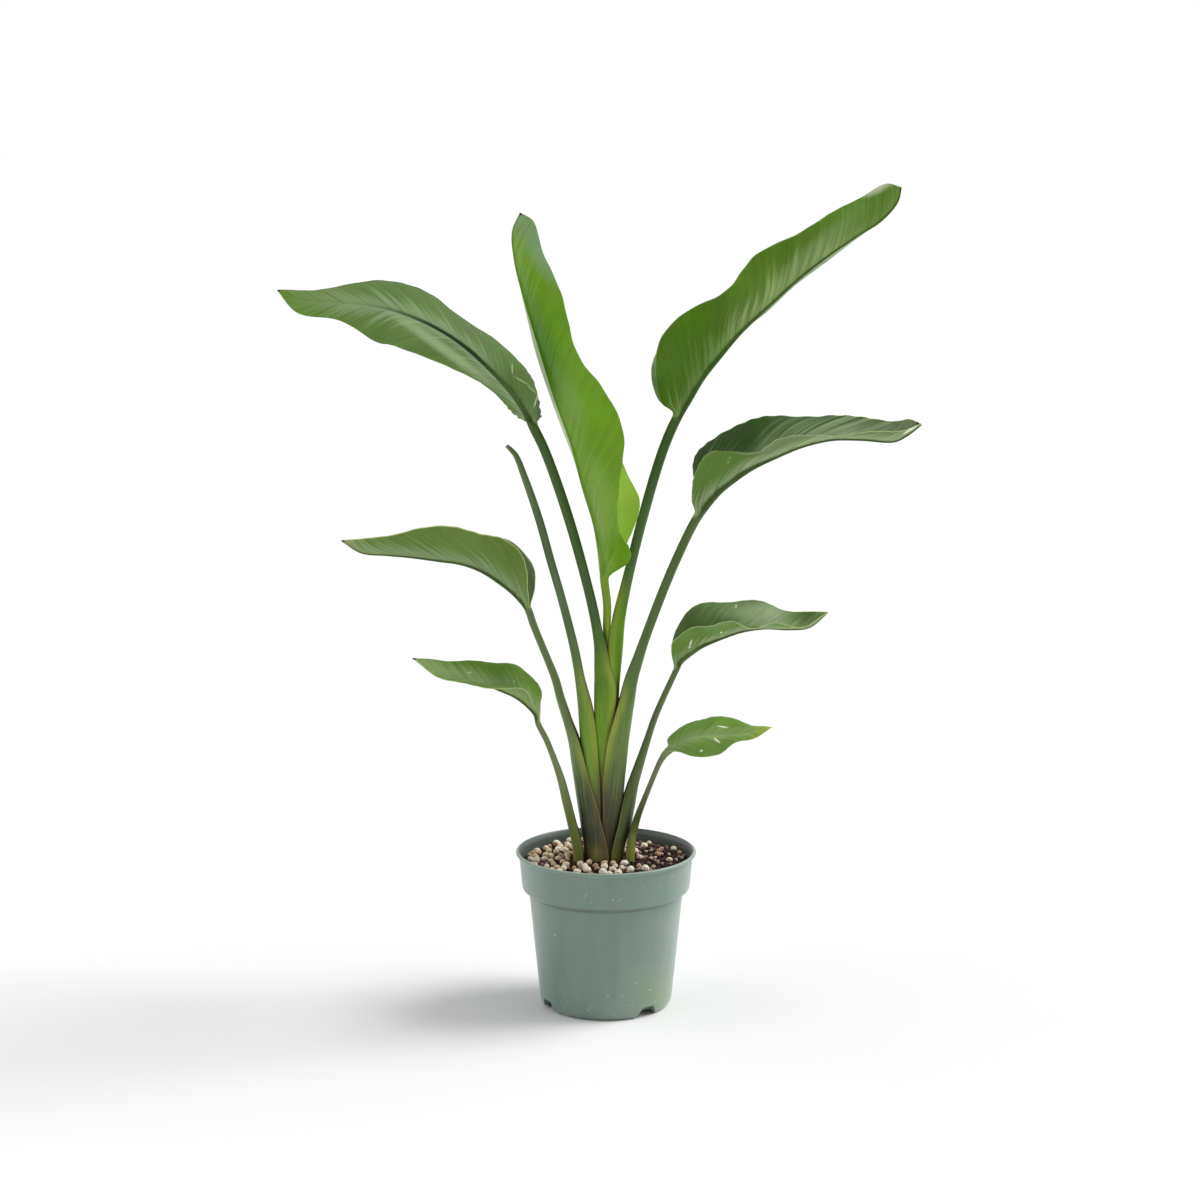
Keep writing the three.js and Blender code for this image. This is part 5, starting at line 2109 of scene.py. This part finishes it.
@dataclass(frozen=True)
class PottingMix:
    """The peaty mix, crowned a little towards the stems, with what is strewn on it.

    Underside is the half section below the top. Each stem is an x, a y and the radius that
    it keeps clear.
    """

    finish: SoilFinish = SoilFinish()
    sharp_above: float = 80.0
    underside: Outline = ((0.0, 6.9), (52.5, 6.9), (56.6, 9.2), (65.9, 103.0), (71.9, 108.2))
    edge_radius: float = 74.2
    edge_height: float = 128.5
    crown: float = 4.5
    crown_radius: float = 77.2
    rings: int = 64
    sides: int = 192
    unevenness: tuple[Undulation, ...] = (
        Undulation(1.1, 0.11, 0.0),
        Undulation(0.8, 0.34, 4.0),
        Undulation(0.5, 0.9, 9.0),
    )
    stems: tuple[Place, ...] = ((-1.8, 0.0, 19.0), (-22.5, -9.0, 8.5), (20.0, -9.0, 7.0))
    bed_clearance: float = 2.2
    top_clearance: float = 3.0
    pumice_patches: Undulation = Undulation(0.225, 0.045, 30.0)
    pumice_front_lean: float = 0.35
    pumice_fade: Span = (-42, 22)
    thinnest_pumice: float = 0.12
    pumice_everywhere: float = 0.2
    pumice_at_left: float = 0.85
    bed_before_top: float = 0.6
    crumb_plenty: float = 1.6
    ground_inset: float = 3.4
    ground_columns: int = 84
    scatters: tuple[StoneScatter, ...] = (
        StoneScatter(
            "pumice_bed", Layer.BED, PUMICE,
            spacing=8.7, smallest=2.5, largest=3.6, rise=0.6, lumps=0.5, seed=11,
        ),
        StoneScatter(
            "pumice_top", Layer.TOP, PUMICE,
            spacing=15.0, smallest=2.6, largest=3.5, rise=1.3, lumps=0.5, seed=23,
        ),
        StoneScatter(
            "peat_crumbs", Layer.CRUMBS, PEAT_CRUMB,
            spacing=2.6, smallest=0.7, largest=2.2, rise=0.4, lumps=1.2, seed=5, subdivisions=1,
        ),
    )

    def height(self, x: float, y: float) -> float:
        """Return the mix's height at a place, with its crumbs and hollows.

        Args:
            x: The place's x.
            y: The place's y.

        Returns:
            The height.
        """
        share = math.hypot(x, y) / self.crown_radius
        height = self.edge_height + self.crown * max(0.0, 1 - share * share)
        for undulation in self.unevenness:
            height += undulation.at(x, y)
        return height

    def clear_of_stems(self, x: float, y: float, margin: float) -> float:
        """Return 1 where no stem stands within a margin, or else 0."""
        near = any(math.hypot(x - sx, y - sy) < radius + margin for sx, sy, radius in self.stems)
        return 0.0 if near else 1.0

    def pumice_share(self, x: float, y: float) -> float:
        """Return how thickly pumice lies at a place: thick at the left, thin at the right.

        Args:
            x: The place's x.
            y: The place's y.

        Returns:
            The share, 0 to 1.
        """
        left = smooth_step(-x - self.pumice_front_lean * y, *self.pumice_fade)
        share = self.pumice_everywhere + self.pumice_at_left * left + self.pumice_patches.at(x, y)
        return min(1.0, max(self.thinnest_pumice, share))

    def layer_shares(self, x: float, y: float) -> dict[Layer, float]:
        """Return how thickly each layer lies at a place.

        Args:
            x: The place's x.
            y: The place's y.

        Returns:
            A share for each layer.
        """
        pumice = self.pumice_share(x, y)
        heap = max(0.0, pumice - self.bed_before_top)
        crumbs = self.crumb_plenty - pumice
        return {
            Layer.BED: pumice * self.clear_of_stems(x, y, self.bed_clearance),
            Layer.TOP: heap * self.clear_of_stems(x, y, self.top_clearance),
            Layer.CRUMBS: crumbs * self.clear_of_stems(x, y, 0.0),
        }

    def _body(self) -> Piece:
        """Make the mix itself as a closed shell.

        Returns:
            The mix.
        """
        top = [
            (self.edge_radius * (1 - ring / self.rings), self.edge_height)
            for ring in range(self.rings)
        ]
        points, faces = spin([*self.underside, *top, (0.0, self.edge_height)], self.sides)
        bottom_centre = len(points) - 2
        for index in range((len(self.underside) - 1) * self.sides, len(points)):
            if index != bottom_centre:
                points[index, 2] = self.height(points[index, 0], points[index, 1])
        material = self.finish.material()
        return add_piece("peat_mix", points, faces, material, sharp_above=self.sharp_above)

    def _strewing_ground(self) -> Mesh:
        """Return the top as an open sheet.

        Returns:
            The sheet, which stores how thickly each layer lies at its points.
        """
        count = self.ground_columns
        reach = self.edge_radius - self.ground_inset
        steps = np.linspace(-reach, reach, count)
        points = [(x, y, self.height(x, y)) for y in steps for x in steps]
        inside = [math.hypot(x, y) < reach for x, y, _ in points]
        faces: list[Face] = []
        for i in range(count - 1):
            for j in range(count - 1):
                corner = i * count + j
                face = (corner, corner + 1, corner + count + 1, corner + count)
                if all(inside[k] for k in face):
                    faces.append(face)
        sheet = bpy.data.meshes.new("strewing_ground")
        sheet.from_pydata((np.array(points) * MM).tolist(), [], faces)
        shares = [self.layer_shares(x, y) for x, y, _ in points]
        for layer in Layer:
            store_number(sheet, layer.value, [share[layer] for share in shares])
        return sheet

    def build(self) -> list[Piece]:
        """Make the mix, its pumice and its crumbs.

        Returns:
            The pieces.
        """
        mix = self._body()
        surface = self._strewing_ground()
        strewn = [scatter.build(surface) for scatter in self.scatters]
        bpy.data.meshes.remove(surface)
        return [mix, *strewn]


# Studio


@dataclass(frozen=True)
class Studio:
    """A white floor, soft light and a camera at the photograph's height and distance.

    Each brightness of the room is a multiple of the white behind the plant.
    """

    camera_place: Place = (-5.3, -2400.0, 806.0)
    camera_pitch: float = 79.6
    focal_pixels: float = 2791.0
    image_pixels: float = 1200.0
    sensor: float = 36.0
    farthest_seen: float = 100000.0
    sun_from: Place = (0.66, 0.14, 0.74)
    sun_strength: float = 2.25
    sun_spread: float = 32.0
    ceiling: float = 0.52
    side_walls: float = 1.6
    behind_camera: float = 0.15
    side_fade: Span = (0.35, 0.9)
    behind_fade: Span = (0.1, 0.8)
    above_horizon: Span = (0.1, 0.24)
    floor_white: float = 0.82
    floor_roughness: float = 0.9
    floor_reach: float = 30000.0

    def _camera(self) -> None:
        """Set the camera."""
        data = bpy.data.cameras.new("camera")
        data.sensor_width = self.sensor
        data.lens = self.focal_pixels / self.image_pixels * self.sensor
        data.clip_end = self.farthest_seen * MM
        camera = bpy.data.objects.new("camera", data)
        camera.location = [value * MM for value in self.camera_place]
        camera.rotation_euler = (math.radians(self.camera_pitch), 0.0, 0.0)
        bpy.context.scene.collection.objects.link(camera)
        bpy.context.scene.camera = camera

    def _room(self) -> None:
        """Set the room's glow: bright at the sides, dim behind the camera."""
        world = bpy.data.worlds.new("studio")
        world.use_nodes = True
        graph = ShaderGraph(world.node_tree)
        way = Wire(graph, graph.node("ShaderNodeTexCoord").outputs["Generated"])
        sideways = graph.maths("ABSOLUTE", graph.part(way, "X"), 0.0)
        behind = 0 - graph.part(way, "Y")
        walls = sideways.ramp(*self.side_fade) * (self.side_walls - self.ceiling)
        dark = behind.ramp(*self.behind_fade) * (self.ceiling - self.behind_camera)
        glow = self.ceiling + walls - dark
        above = graph.part(way, "Z").ramp(*self.above_horizon)
        sockets = {"Color": (1.0, 1.0, 1.0, 1.0), "Strength": above * (glow - 1) + 1}
        background = graph.node("ShaderNodeBackground", None, sockets)
        graph.node("ShaderNodeOutputWorld", None, {"Surface": background.outputs[0]})
        bpy.context.scene.world = world

    def _softbox(self) -> None:
        """Set one soft light from the right."""
        data = bpy.data.lights.new("softbox", "SUN")
        data.energy = self.sun_strength
        data.angle = math.radians(self.sun_spread)
        lamp = bpy.data.objects.new("softbox", data)
        lamp.rotation_euler = Vector(self.sun_from).to_track_quat("Z", "Y").to_euler()
        bpy.context.scene.collection.objects.link(lamp)

    def _floor(self) -> None:
        """Lay the floor."""
        white = (self.floor_white, self.floor_white, self.floor_white, 1.0)
        graph = MaterialGraph("white_floor")
        material = graph.close(white, self.floor_roughness, constants={"Specular IOR Level": 0.0})
        corners = ((-1, -1, 0), (1, -1, 0), (1, 1, 0), (-1, 1, 0))
        points = np.array(corners, float) * self.floor_reach
        add_piece("floor", points, [(0, 1, 2, 3)], material)

    def build(self) -> None:
        """Set camera, light, floor and the way that light becomes colour."""
        self._camera()
        self._room()
        self._softbox()
        self._floor()
        bpy.context.scene.view_settings.view_transform = "Standard"


def main() -> None:
    """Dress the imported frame, piece by piece."""
    logging.basicConfig(level=logging.INFO, format="%(name)s: %(message)s")
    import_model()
    Studio().build()
    LOG.info("studio set")
    pot = NurseryPot().build()
    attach(pot, BODY)
    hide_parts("pot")
    LOG.info("nursery pot: %d faces", len(pot.data.polygons))
    for piece in PottingMix().build():
        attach(piece, BODY)
        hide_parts("soil_mix")
        LOG.info("%s: %d faces", piece.name, len(piece.data.polygons))
    for shape, finish in LEAVES:
        leaf = Leaf(shape, finish).build()
        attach(leaf, BODY)
        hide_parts(shape.name)
        LOG.info("%s: %d faces", leaf.name, len(leaf.data.polygons))


if __name__ == "__main__":
    main()
